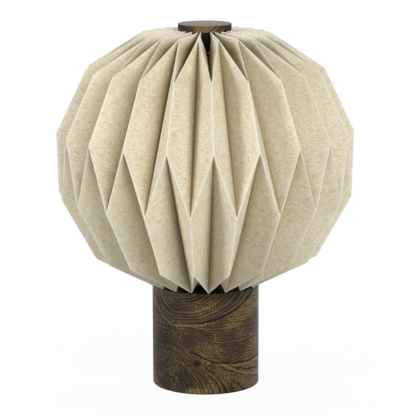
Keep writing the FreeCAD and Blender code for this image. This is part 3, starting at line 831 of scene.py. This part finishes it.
def facing(corner, along, across):
    """Outward normal of the facet that leaves a corner along its fold and across to the other fold."""
    return (along - corner).cross(across - corner).normalized()


def meeting(planes):
    """Point shared by three planes, each a normal and its distance from the origin."""
    (a, da), (b, db), (c, dc) = planes
    return (b.cross(c) * da + c.cross(a) * db + a.cross(b) * dc) / a.dot(b.cross(c))


def paper_face(folds, layer):
    """Corners of the front or back face of half a pleat: by the point line, and by the ridge line."""
    gather_p, eave_p, fork, hem_p = folds.point
    gather_r, eave_r, junction, hem_r, tuck = folds.ridge
    by_point = (folds.point_side, folds.sizes.fold_round)
    by_ridge = (folds.ridge_side, -folds.sizes.fold_round)
    hem = facing(hem_p, tuck, hem_r)

    def corner(place, fold, *normals):
        """Corner beside a fold, on the facets with these normals."""
        return meeting([(normal, normal.dot(place) + layer) for normal in normals] + [fold])

    def cut(place, fold, normal, trim):
        """Corner beside a fold, where a facet is trimmed."""
        return meeting([(normal, normal.dot(place) + layer), (trim, trim.dot(place)), fold])

    return [
        cut(gather_p, by_point, facing(gather_p, eave_p, gather_r), at(1, 0)),
        corner(eave_p, by_point, facing(eave_p, eave_r, gather_p), facing(eave_p, fork, eave_r)),
        corner(fork, by_point, facing(fork, junction, eave_p), facing(fork, hem_p, junction)),
        corner(hem_p, by_point, facing(hem_p, hem_r, fork), hem),
    ], [
        cut(gather_r, by_ridge, facing(gather_r, gather_p, eave_r), at(1, 0, folds.pitch / 2)),
        corner(eave_r, by_ridge, facing(eave_r, gather_r, eave_p), facing(eave_r, eave_p, junction)),
        corner(junction, by_ridge, facing(junction, eave_r, fork), facing(junction, fork, hem_r)),
        corner(hem_r, by_ridge, facing(hem_r, junction, hem_p), hem),
        cut(tuck, by_ridge, hem, (tuck - hem_r).normalized()),
    ]


def swelling(p0, p1, r0, r1, band_number, amount):
    """How far the middle of a bent facet stands out from the even blend of its corners."""
    if band_number == HEM_BAND:
        return Vector()
    normal = (r1 - p0).cross(p1 - r0).normalized()
    offset = (p0 + r1 - p1 - r0) / 4
    if band_number == 0:
        offset = -offset
    return normal * (normal.dot(offset) * amount)


def row_share(row, steps, strip):
    """Place of a row down its band: a narrow strip at each end and even rows between them."""
    if row == 0:
        return 0.0
    if row == steps + 2:
        return 1.0
    return strip + (1 - 2 * strip) * (row - 1) / steps


def half_pleat(folds, layer):
    """Rows of (point, place on the flat sheet) over half a pleat, from the point fold to the ridge fold."""
    sizes = folds.sizes
    by_point, by_ridge = paper_face(folds, layer)
    edge = sizes.fold_round / folds.flat_half
    rows = []
    marks = []
    for number, steps in enumerate(DOWN):
        low_p = min(number + 1, HEM_BAND)
        p0, p1, r0, r1 = by_point[number], by_point[low_p], by_ridge[number], by_ridge[number + 1]
        v_p = folds.flat_point[number], folds.flat_point[low_p]
        v_r = folds.flat_ridge[number], folds.flat_ridge[number + 1]
        bulge = swelling(p0, p1, r0, r1, number, sizes.swell)
        inward = (p1 - p0).cross(p0 - r0).normalized() * sizes.bow
        for row in range(1 if number else 0, steps + 3):
            cells = []
            for column in range(ACROSS + 1):
                s = column / ACROSS
                high, low = p0.lerp(r0, s), p1.lerp(r1, s)
                strip = min(STRIP_MOST, sizes.fold_strip / max((low - high).length, WELD))
                t = row_share(row, steps, strip)
                point = high.lerp(low, t) + bulge * (16 * s * (1 - s) * t * (1 - t))
                if number == 0:
                    point += inward * (4 * s * (1 - s) * (1 - ease(t, 0.0, BOW_END)))
                high_v, low_v = (start + (end - start) * s for start, end in zip(v_p, v_r))
                u = folds.flat_half * (edge + (1 - 2 * edge) * s)
                cells.append([point, (u, high_v + (low_v - high_v) * t)])
            rows.append(cells)
            marks.append((number, row == steps + 2))
    soften_zigzags(rows, marks, sizes.fold_strip)
    return add_folds(folds, rows, marks)


def soften_zigzags(rows, marks, strip):
    """Draws the sharp row of each zigzag fold in, onto an arc between the strips beside it."""
    for index, (number, sharp) in enumerate(marks):
        if not sharp or number == HEM_BAND:
            continue
        moved = []
        for column, (point, _) in enumerate(rows[index]):
            ahead = rows[index][min(column + 1, ACROSS)][0] - rows[index][max(column - 1, 0)][0]
            step_down = rows[index + 1][column][0] - point
            above = (point - rows[index - 1][column][0]).cross(ahead).normalized()
            below = step_down.cross(ahead).normalized()
            if below.length == 0:
                below = above
            out = (above + below).normalized()
            lean = min(1.0, above.dot(out))
            slant = math.sqrt(max(0.0, 1 - lean**2))
            width = min(strip, step_down.length) * STRIP_DEEP
            moved.append(point - out * (width * (1 - lean) / slant if slant > FLAT else 0.0))
        for cell, point in zip(rows[index], moved):
            cell[0] = point


def add_folds(folds, rows, marks):
    """Adds the rounded middle of the point fold and of the ridge fold to each row."""
    land = folds.sizes.fold_round
    lines = (
        (0, 1, folds.point_side, 0.0, folds.flat_point),
        (-1, -2, folds.ridge_side, folds.flat_half, folds.flat_ridge),
    )
    whole = []
    for index, (number, _) in enumerate(marks):
        cells = rows[index]
        below = rows[min(index + 1, len(rows) - 1)]
        above = rows[max(index - 1, 0)]
        ends = []
        for outward, (column, inner, side, u, line) in zip(OUTWARD[number], lines):
            point, (_, v) = cells[column]
            down = below[column][0] - above[column][0]
            across = (cells[inner][0] - point) * (1 if column == 0 else -1)
            normal = down.cross(across)
            middle = point - side * point.dot(side)
            if normal.length > 0:
                normal.normalize()
                stand = normal - side * normal.dot(side)
                steep = min(1.0, abs(normal.dot(side)))
                rise = land * (1 - math.sqrt(1 - steep**2)) / max(steep, FLAT)
                start, end = line[number], line[min(number + 1, len(line) - 1)]
                window = max(0.0, min(1.0, (v - start) / FOLD_FADE, (end - v) / FOLD_FADE))
                middle += stand.normalized() * (rise * window * outward)
            ends.append([middle, (u, v)])
        whole.append([ends[0]] + cells + [ends[1]])
    return whole


def bunched(spot, folds):
    """Turns a point of the gathered paper: the front pleat opens, and those beside it bunch towards it."""
    sizes, pitch = folds.sizes, folds.pitch
    near = 1 - ease(math.hypot(spot.x, spot.y), folds.point[0].x, sizes.eave_ridge)
    if not near:
        return spot
    turn = math.remainder(math.atan2(spot.x, -spot.y) - sizes.first_fold, TURN)
    side = abs(turn)
    drawn = ease(side, pitch * 0.5, pitch * 1.9) * (1 - ease(side, pitch * 3, TURN / 2))
    moved = sizes.front_open * ease(side, 0.0, pitch * 0.5) * (1 - drawn) - sizes.bunch * drawn
    moved = math.copysign(1.0, turn) * moved + sizes.gather_turn * (1 - 2 * drawn)
    return Matrix.Rotation(moved * near, 3, "Z") @ spot


def fold_panel(name, folds, first, last, linen, backing):
    """One glued sheet of the shade, from one point fold to another, with its thickness."""
    bm = bmesh.new()
    across = bm.verts.layers.float.new("across")
    down = bm.verts.layers.float.new("down")
    half_paper = folds.sizes.paper / 2
    layers = [half_pleat(folds, half_paper), half_pleat(folds, -half_paper)]
    mirror = folds.ridge_side
    pleat = 2 * folds.flat_half

    def raise_grid(rows, index, mirrored):
        turn = Matrix.Rotation(-QUARTER + folds.sizes.first_fold + folds.pitch * index, 3, "Z")
        grid = []
        for cells in rows:
            line = []
            for point, (u, v) in cells:
                spot = point - mirror * (2 * point.dot(mirror)) if mirrored else point
                vert = bm.verts.new(bunched(turn @ spot, folds))
                vert[across] = pleat * (index - first) + (pleat - u if mirrored else u)
                vert[down] = v
                line.append(vert)
            grid.append(line)
        return grid

    def close(one, two, material):
        for corners in zip(one, one[1:], two[1:], two):
            bm.faces.new(corners).material_index = material

    for index in range(first, last):
        for mirrored in (False, True):
            front, behind = (raise_grid(rows, index, mirrored) for rows in layers)
            for material, grid in enumerate((front, behind)):
                for above, below in zip(grid, grid[1:]):
                    close(above, below, material)
            close(front[0], behind[0], 1)
            close(front[-1], behind[-1], 1)
            if (index == first and not mirrored) or (index == last - 1 and mirrored):
                close([line[0] for line in front], [line[0] for line in behind], 1)
    bmesh.ops.remove_doubles(bm, verts=bm.verts[:], dist=WELD)
    bmesh.ops.recalc_face_normals(bm, faces=bm.faces[:])
    sheet = bm.loops.layers.uv.new("flat_sheet")
    for face in bm.faces:
        face.smooth = True
        for loop in face.loops:
            loop[sheet].uv = (loop.vert[across], loop.vert[down])
    for edge in bm.edges:
        if len({face.material_index for face in edge.link_faces}) > 1:
            edge.smooth = False
    piece = link_mesh(bm, name, linen, backing)
    piece.modifiers.new("even facets", "WEIGHTED_NORMAL").keep_sharp = True
    return piece


def numbered(start):
    """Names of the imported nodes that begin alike, in order."""
    return [name for name in sorted(frame["nodes"]) if name.startswith(start)]


class LAMP_OT_fold_shade(bpy.types.Operator):
    """Fold the three paper sheets of the shade"""
    bl_idname = "lamp.fold_shade"
    bl_label = "Fold the shade"

    def execute(self, context):
        sizes = context.scene.lamp_shade
        folds = Folds(sizes)
        linen, backing = linen_paper(sizes, folds), backing_paper(sizes)
        panels = numbered("shade_panel")
        each = sizes.pleats // len(panels)
        for number, node in enumerate(panels):
            first = sizes.pleats // 2 + number * each
            piece = fold_panel("paper_sheet_%d" % (number + 1), folds, first, first + each, linen, backing)
            settle(piece, "shade", "linen_paper", node)
        return {"FINISHED"}


# Base, cap and fittings

GLAND_FLANGE = 1.9 * MM
GLAND_WALL = 1.6 * MM
GLAND_FACE = 2.0 * MM
CARRIER_RING = 3.4 * MM


def gland_place():
    """The cord gland's axis height, its flange's and barrel's radius, and its inner end, seat and face."""
    low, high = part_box("cord_gland")
    flange = (high.z - low.z) / 2
    return (low.z + high.z) / 2, flange, flange - GLAND_FLANGE, low.y, high.y - GLAND_FACE, high.y


class LAMP_OT_turn_wood(bpy.types.Operator):
    """Turn the wood base and the wood cap"""
    bl_idname = "lamp.turn_wood"
    bl_label = "Turn the wood"

    def execute(self, context):
        look = context.scene.lamp_wood
        finishes()
        self.turn_base(look)
        self.turn_cap(look)
        return {"FINISHED"}

    def turn_base(self, look):
        _, height, radius = span("base_body")
        bore, edge = reach("nipple") + CLOSE, look.edge / MM
        recess_radius, recess = reach("felt_pad") + LOOSE, top("bottom_cover")
        cavity_radius, cavity = reach("ballast_disc") + LOOSE, top("ballast_disc")
        base = turned("wood_base", [
            (radius, 0.0, edge), (radius, height, edge), (bore, height, 0.3), (bore, cavity),
            (cavity_radius, cavity), (cavity_radius, recess), (recess_radius, recess),
            (recess_radius, 0.0, 0.3)], base_wood(look), steps=160)
        axis, flange, barrel, inner_end, seat, _ = gland_place()
        for size, start in ((barrel, inner_end - 2 * MM), (flange, seat)):
            self.drill(base, size + CLOSE, start, radius * 1.2, axis)
        settle(base, "base", "turned_wood", "base_body")

    def drill(self, piece, radius, start, end, height):
        """Cuts a hole along Y through a piece."""
        bm = bmesh.new()
        place = Matrix.Translation((0, (start + end) / 2, height)) @ Matrix.Rotation(QUARTER, 4, "X")
        bmesh.ops.create_cone(
            bm, cap_ends=True, segments=64, radius1=radius, radius2=radius, depth=end - start, matrix=place)
        cutter = link_mesh(bm, "drill")
        cut = piece.modifiers.new("drill", "BOOLEAN")
        cut.operation = "DIFFERENCE"
        cut.solver = "EXACT"
        cut.object = cutter
        shaped = piece.evaluated_get(bpy.context.evaluated_depsgraph_get())
        drilled = bpy.data.meshes.new_from_object(shaped)
        piece.modifiers.clear()
        piece.data = drilled
        bpy.data.objects.remove(cutter)

    def turn_cap(self, look):
        low, high, radius = span("cap_disc")
        hole, blind = reach("cap_stud"), top("cap_stud")
        cap = turned("wood_cap", [
            (0.0, blind), (hole, blind), (hole, low), (radius, low, 0.5), (radius, high, 0.5), (0.0, high)],
            cap_wood(look, high / MM), steps=128)
        settle(cap, "cap", "cap_wood", "cap_disc")


class LAMP_OT_fit_base(bpy.types.Operator):
    """Make the felt pad, the cord gland and the seat washer"""
    bl_idname = "lamp.fit_base"
    bl_label = "Fit the base"

    def execute(self, context):
        _, high, radius = span("felt_pad")
        fit_turned("felt_foot", "felt_pad", "base", "felt", band(0.0, radius, 0.0, high, 0, 0.5, 0, 0))
        axis, flange, barrel, inner_end, seat, face = gland_place()
        bore = barrel - GLAND_WALL
        gland = turned("cord_inlet", [
            (bore, inner_end, 0.3), (barrel, inner_end, 0.3), (barrel, seat), (flange, seat),
            (flange, face, 0.6), (bore, face, 0.8)], finishes()["black_plastic"], steps=64)
        gland.data.transform(Matrix.Translation((0, 0, axis)) @ Matrix.Rotation(-QUARTER, 4, "X"))
        settle(gland, "base", "black_plastic", "cord_gland")
        low, high, radius = span("seat_washer")
        fit_turned("seat_disc", "seat_washer", "base", "zinc_steel", band(
            reach("nipple") + CLOSE, radius, low, high, 0, 0.2, 0.3, 0))
        return {"FINISHED"}


class LAMP_OT_fit_holder(bpy.types.Operator):
    """Make the lampholder's cap, body and ring"""
    bl_idname = "lamp.fit_holder"
    bl_label = "Fit the lampholder"

    wall: length("Wall", "Thickness of the lampholder's wall", 2.3 * MM)
    foot_radius: length("Foot radius", "Radius of the lampholder's foot", 9.5 * MM)
    grip: length("Grip", "Height of the thread in the foot", 10.0 * MM)
    lip: length("Lip", "Width of the lip at the top", 1.6 * MM)
    flutes: bpy.props.IntProperty(name="Flutes", description="Flutes round the ring", default=16, min=0)
    flute_depth: share("Flute depth", "Depth of the flutes, as a share of the ring's radius", 0.035)

    def execute(self, context):
        low, split, radius = span("holder_cap")
        neck, bore, rim = reach("nipple") + SNUG, radius - self.wall, foot("holder_insert")
        foot_radius, grip = self.foot_radius, low + self.grip
        fit_turned("holder_foot", "holder_cap", "base", "black_plastic", [
            (neck, low), (foot_radius, low, 0.6), (foot_radius, low + self.wall, 0.6), (radius, rim, 2.5),
            (radius, split, 0.35), (bore, split), (bore, rim), (bore - self.wall, rim),
            (foot_radius - self.wall / 2, grip), (neck, grip)])
        _, high, shoulder = span("holder_body")
        shoulder_top, mouth, under_lip = foot("frame_lower_ring"), bore - self.lip, high - self.lip
        fit_turned("holder_sleeve", "holder_body", "base", "black_plastic", [
            (bore, split), (shoulder, split, 0.4), (shoulder, shoulder_top, 0.5), (radius, shoulder_top),
            (radius, high, 0.9 * self.lip / MM), (mouth, high, 0.5), (mouth, under_lip, 0.3),
            (bore, under_lip)])
        low, high, outer = span("shade_ring")
        outer = max(outer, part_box("shade_ring")[1].y)

        def flute(turn, here):
            """Shallow grips on the outside of the ring."""
            deep = self.flute_depth if here > outer - 1.5 * MM else 0.0
            return 1 - deep * max(0.0, math.cos(self.flutes * turn)) ** 2

        profile = band(radius + LOOSE, outer, low, high, 0, 0.5, 0.8, 0.4)
        fit_turned("holder_nut", "shade_ring", "base", "black_plastic", profile, steps=192, flute=flute)
        return {"FINISHED"}


class LAMP_OT_fit_bulb(bpy.types.Operator):
    """Make the bulb: tip, insulator, rolled screw shell, neck and opal globe"""
    bl_idname = "lamp.fit_bulb"
    bl_label = "Fit the bulb"

    thread: length("Thread", "Depth of the rolled thread", 0.85 * MM)
    thread_pitch: length("Thread pitch", "Rise of the thread in one turn", 3.6 * MM)
    narrow: length("Neck radius", "Radius of the neck at the screw shell", 13.8 * MM)
    glass: length("Glass", "Thickness of the globe's wall", 1.0 * MM)

    def execute(self, context):
        low, high, radius = span("bulb_tip")
        fit_turned("bulb_contact", "bulb_tip", "bulb", "bulb_metal", [
            (0.0, low), (radius / 2, low, 0.5), (radius, high), (0.0, high)])
        low, high, wide = span("bulb_insulator")
        fit_turned("bulb_glaze", "bulb_insulator", "bulb", "bulb_black", [
            (0.0, low), (radius + 0.5 * MM, low, 0.5), (wide, high), (0.0, high)])
        fit_thread("bulb_thread", "bulb_cap", "bulb", "bulb_metal", self.thread, self.thread_pitch, 2 * MM)
        self.blow_glass()
        return {"FINISHED"}

    def blow_glass(self):
        neck_steps, globe_steps = 12, 36
        low, high, wide = span("bulb_neck")
        curve = []
        for step in range(neck_steps + 1):
            up = step / neck_steps
            flare = 0.55 * up + 0.45 * ease(up, 0.0, 1.0) * up
            curve.append((self.narrow + (wide - self.narrow) * flare, low + (high - low) * up))
        fit_turned(
            "bulb_collar", "bulb_neck", "bulb", "bulb_plastic", [(0.0, low)] + curve + [(0.0, high)])
        _, crown, radius = span("bulb_globe")
        centre = crown - radius
        profile = []
        for size, way in ((radius, 1), (radius - self.glass, -1)):
            start = -math.asin((centre - high) / size)
            turns = [start + (QUARTER - start) * step / globe_steps for step in range(globe_steps + 1)]
            profile += [(size * math.cos(turn), centre + size * math.sin(turn)) for turn in turns[::way]]
        fit_turned("bulb_opal", "bulb_globe", "bulb", "frosted_glass", profile)


class LAMP_OT_bend_carrier(bpy.types.Operator):
    """Bend the wire legs and make the carrier's rings"""
    bl_idname = "lamp.bend_carrier"
    bl_label = "Bend the wire carrier"

    bend: length("Bend", "Radius of the bends in the wire", 9.0 * MM)
    wire: length("Wire", "Radius of the wire", 1.6 * MM)
    neck: length("Neck", "Length of the upright wire under the top ring", 22.0 * MM)
    stem: length("Stem", "Length of the upright wire over the lower ring", 10.0 * MM)

    def execute(self, context):
        low, high, outer = span("frame_top_ring")
        fit_turned("carrier_top", "frame_top_ring", "base", "carrier_steel", band(
            outer - CARRIER_RING, outer, low, high, 0.3, 0.4, 0.4, 0.3))
        seat, seat_top, wide = span("frame_lower_ring")
        fit_turned("carrier_foot", "frame_lower_ring", "base", "carrier_steel", band(
            reach("holder_cap") + LOOSE, wide, seat, seat_top, 0.2, 0.3, 0.3, 0.2))
        legs = numbered("frame_leg")
        foot_radius = wide - 2.3 * MM
        leg_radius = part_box(legs[0])[1].y - self.wire
        top_radius = outer - CARRIER_RING / 2
        neck, flare = low - self.neck, seat_top + self.stem
        path = [
            (foot_radius, seat_top), (foot_radius, flare), (leg_radius, flare + leg_radius - foot_radius),
            (leg_radius, neck - leg_radius + top_radius), (top_radius, neck), (top_radius, low)]
        for number, node in enumerate(legs):
            turn = QUARTER + TURN * number / len(legs)
            settle(self.sweep("carrier_leg_%d" % (number + 1), path, turn), "base", "carrier_steel", node)
        return {"FINISHED"}

    def sweep(self, name, path, turn):
        """Round wire along a path in an upright plane through the axis."""
        sides = 20
        bends = [0.0] + [self.bend] * (len(path) - 2) + [0.0]
        corners = [(*place, bend) for place, bend in zip(path, bends)]
        line = [Vector(place[:2]) for place in rounded(corners)]
        rings = []
        for index, here in enumerate(line):
            along = (line[min(index + 1, len(line) - 1)] - line[max(index - 1, 0)]).normalized()
            out = Vector((along.y, -along.x))
            ring = []
            for roll in circle(sides):
                flat = here + out * (self.wire * math.cos(roll))
                spot = at(flat.x, flat.y, turn) + at(self.wire * math.sin(roll), 0.0, turn + QUARTER)
                ring.append((spot, 0.0))
            rings.append(ring)
        return lofted(name, rings, finishes()["carrier_steel"], looped=False)


class LAMP_OT_fit_collar(bpy.types.Operator):
    """Make the collar, the slip ring, and the cap's washer and screw"""
    bl_idname = "lamp.fit_collar"
    bl_label = "Fit the collar"

    bush: length("Bush", "Thickness of the slip ring's wall", 1.5 * MM)
    wall: length("Wall", "Thickness of the collar's spigot", 3.0 * MM)
    floor: length("Floor", "Thickness of the collar's floor under the cap", 10.0 * MM)
    screw_depth: length("Screw depth", "Depth of the cap screw's thread", 0.55 * MM)
    screw_pitch: length("Screw pitch", "Rise of the cap screw in one turn", 1.0 * MM)

    def execute(self, context):
        low, flange_top, flange = span("slip_ring")
        flange_low = top("frame_top_ring") + SNUG
        outer = reach("frame_top_ring") - CARRIER_RING - SNUG
        bore = outer - self.bush
        fit_turned("slip_bush", "slip_ring", "slip", "black_nylon", [
            (bore, low, 0.2), (outer, low, 0.3), (outer, flange_low), (flange, flange_low, 0.2),
            (flange, flange_top, 0.3), (bore, flange_top)])
        low, high, radius = span("collar")
        seat, under = flange_top + SNUG, high - self.floor
        spigot, insert = bore - SNUG, reach("collar_insert")
        inside = spigot - self.wall
        fit_turned("shade_collar", "collar", "shade", "black_plastic", [
            (inside, low, 0.3), (spigot, low, 0.3), (spigot, seat), (radius, seat, 0.5),
            (radius, high, 0.3), (insert, high), (insert, under), (inside, under)])
        low, high, radius = span("cap_washer")
        fit_turned("cap_seat_disc", "cap_washer", "cap_seat", "fibre", band(
            reach("cap_stud") + LOOSE, radius, low, high, 0, 0.1, 0.1, 0))
        fit_thread("cap_screw", "cap_stud", "cap", "zinc_steel", self.screw_depth, self.screw_pitch)
        return {"FINISHED"}


class LAMP_OT_finish_inside(bpy.types.Operator):
    """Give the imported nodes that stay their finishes"""
    bl_idname = "lamp.finish_inside"
    bl_label = "Finish the inside"

    def execute(self, context):
        made = finishes()
        slots = {part["node"]: part["material_slot"] for part in frame["record"]["subparts"]}
        for name, node in frame["nodes"].items():
            if node.hide_render:
                continue
            node.data.materials.clear()
            node.data.materials.append(made[slots[name]])
        return {"FINISHED"}


# Stage

# Name, property of its power, width and height, turn right of the front and rise above the floor in degrees
LAMPS = (
    ("left_lamp", "left", (0.5, 0.6), -60, 17),
    ("right_lamp", "right", (1.3, 1.0), 32, 23),
    ("back_left_lamp", "back", (1.2, 1.0), -145, 35),
    ("back_right_lamp", "back", (1.2, 1.0), 145, 35),
)
LAMP_AIM = Vector((0, 0, 0.2))
LAMP_DISTANCE = 1.7
FLOOR_SIZE = 6.0
# The floor shows its shadow near the lamp and turns into plain backdrop further out
SHADOW_NEAR, SHADOW_FAR = 0.1, 0.5
SHADOW_FAINT = 0.955
# The photograph's width and focal length in pixels, the camera's place, its view down and its roll
PHOTO_PIXELS, FOCAL_PIXELS = 416, 2018
CAMERA_PLACE = (2.5 * MM, -1850 * MM, 530.9 * MM)
CAMERA_DOWN, CAMERA_ROLL = math.radians(11.14), math.radians(-0.16)


class LAMP_OT_set_stage(bpy.types.Operator):
    """Set the floor, the light and the camera"""
    bl_idname = "lamp.set_stage"
    bl_label = "Set the stage"

    def execute(self, context):
        look = context.scene.lamp_stage
        context.scene.view_settings.view_transform = "Standard"
        self.light_room(look)
        self.lay_floor(look)
        for name, power, size, azimuth, elevation in LAMPS:
            self.hang_lamp(name, getattr(look, power), size, math.radians(azimuth), math.radians(elevation))
        self.place_camera()
        return {"FINISHED"}

    def seen(self, web):
        """One for rays that see the background: from the camera, a reflection or through glass."""
        path = web.flows(web.put("ShaderNodeLightPath"))
        return web.most(path["Is Camera Ray"], path["Is Glossy Ray"], path["Is Transmission Ray"])

    def show(self, web, amount, unseen, seen, output):
        """Mixes what rays see with what they don't, into an output."""
        mixed = web.put("ShaderNodeMixShader", {0: amount, 1: web.flow(unseen), 2: web.flow(seen)})
        web.put(output, {"Surface": web.flow(mixed)})

    def light_room(self, look):
        world = bpy.data.worlds.new("room")
        bpy.context.scene.world = world
        world.use_nodes = True
        web = Web(world.node_tree)
        light = web.put("ShaderNodeBackground", {"Color": (1.0, 1.0, 1.0), "Strength": look.sky})
        backdrop = web.put("ShaderNodeBackground", {"Color": look.backdrop})
        self.show(web, self.seen(web), light, backdrop, "ShaderNodeOutputWorld")

    def lay_floor(self, look):
        material = bpy.data.materials.new("floor")
        material.use_nodes = True
        web = Web(material.node_tree)
        plain = web.put("ShaderNodeBsdfDiffuse", {"Color": look.floor})
        lit = web.put("ShaderNodeEmission", {"Color": look.backdrop})
        x, y, _ = web.split(web.flow(web.put("ShaderNodeTexCoord"), "Object"))
        far = web.ramp(apart(web, x, y), SHADOW_NEAR, SHADOW_FAR, SHADOW_FAINT, 1.0)
        self.show(web, self.seen(web) * far, plain, lit, "ShaderNodeOutputMaterial")
        bm = bmesh.new()
        bmesh.ops.create_grid(bm, x_segments=8, y_segments=8, size=FLOOR_SIZE)
        floor = link_mesh(bm, "floor", material)

    def hang_lamp(self, name, power, size, turn, rise):
        """Area lamp that faces the shade, from an angle right of the front and above the floor."""
        lamp = bpy.data.lights.new(name, "AREA")
        lamp.shape = "RECTANGLE"
        lamp.size, lamp.size_y = size
        lamp.energy = power
        away = at(math.cos(rise), math.sin(rise), turn - QUARTER)
        hung = bpy.data.objects.new(name, lamp)
        hung.location = LAMP_AIM + away * LAMP_DISTANCE
        hung.rotation_euler = (-away).to_track_quat("-Z", "Y").to_euler()
        bpy.context.scene.collection.objects.link(hung)

    def place_camera(self):
        """Camera of the photograph."""
        camera = bpy.data.cameras.new("camera")
        camera.sensor_width = 36.0
        camera.lens = camera.sensor_width * FOCAL_PIXELS / PHOTO_PIXELS
        camera.clip_end = 50.0
        holder = bpy.data.objects.new("camera", camera)
        holder.location = CAMERA_PLACE
        tilt = Matrix.Rotation(QUARTER - CAMERA_DOWN, 3, "X") @ Matrix.Rotation(CAMERA_ROLL, 3, "Z")
        holder.rotation_euler = tilt.to_euler()
        bpy.context.scene.collection.objects.link(holder)
        bpy.context.scene.camera = holder


# Add-on

STEPS = (
    LAMP_OT_set_stage,
    LAMP_OT_turn_wood,
    LAMP_OT_fold_shade,
    LAMP_OT_fit_base,
    LAMP_OT_fit_holder,
    LAMP_OT_fit_bulb,
    LAMP_OT_bend_carrier,
    LAMP_OT_fit_collar,
    LAMP_OT_finish_inside,
)
GROUPS = {
    "lamp_shade": LampShade, "lamp_wood": LampWood, "lamp_fittings": LampFittings, "lamp_stage": LampStage}


class LAMP_PT_panel(bpy.types.Panel):
    """Lists the lamp's steps, sizes and colours"""
    bl_idname = "LAMP_PT_panel"
    bl_label = "Folded paper table lamp"
    bl_space_type = "VIEW_3D"
    bl_region_type = "UI"
    bl_category = "Lamp"

    def draw(self, context):
        for step in STEPS:
            self.layout.operator(step.bl_idname)
        for name, group in GROUPS.items():
            box = self.layout.box()
            for label in group.__annotations__:
                box.prop(getattr(context.scene, name), label)


def register():
    for name, group in GROUPS.items():
        bpy.utils.register_class(group)
        setattr(bpy.types.Scene, name, bpy.props.PointerProperty(type=group))
    for kind in STEPS + (LAMP_PT_panel,):
        bpy.utils.register_class(kind)


def unregister():
    for kind in (LAMP_PT_panel,) + STEPS[::-1]:
        bpy.utils.unregister_class(kind)
    for name, group in GROUPS.items():
        delattr(bpy.types.Scene, name)
        bpy.utils.unregister_class(group)


def main():
    register()
    for step in STEPS:
        family, name = step.bl_idname.split(".")
        getattr(getattr(bpy.ops, family), name)()


if __name__ == "__main__":
    main()
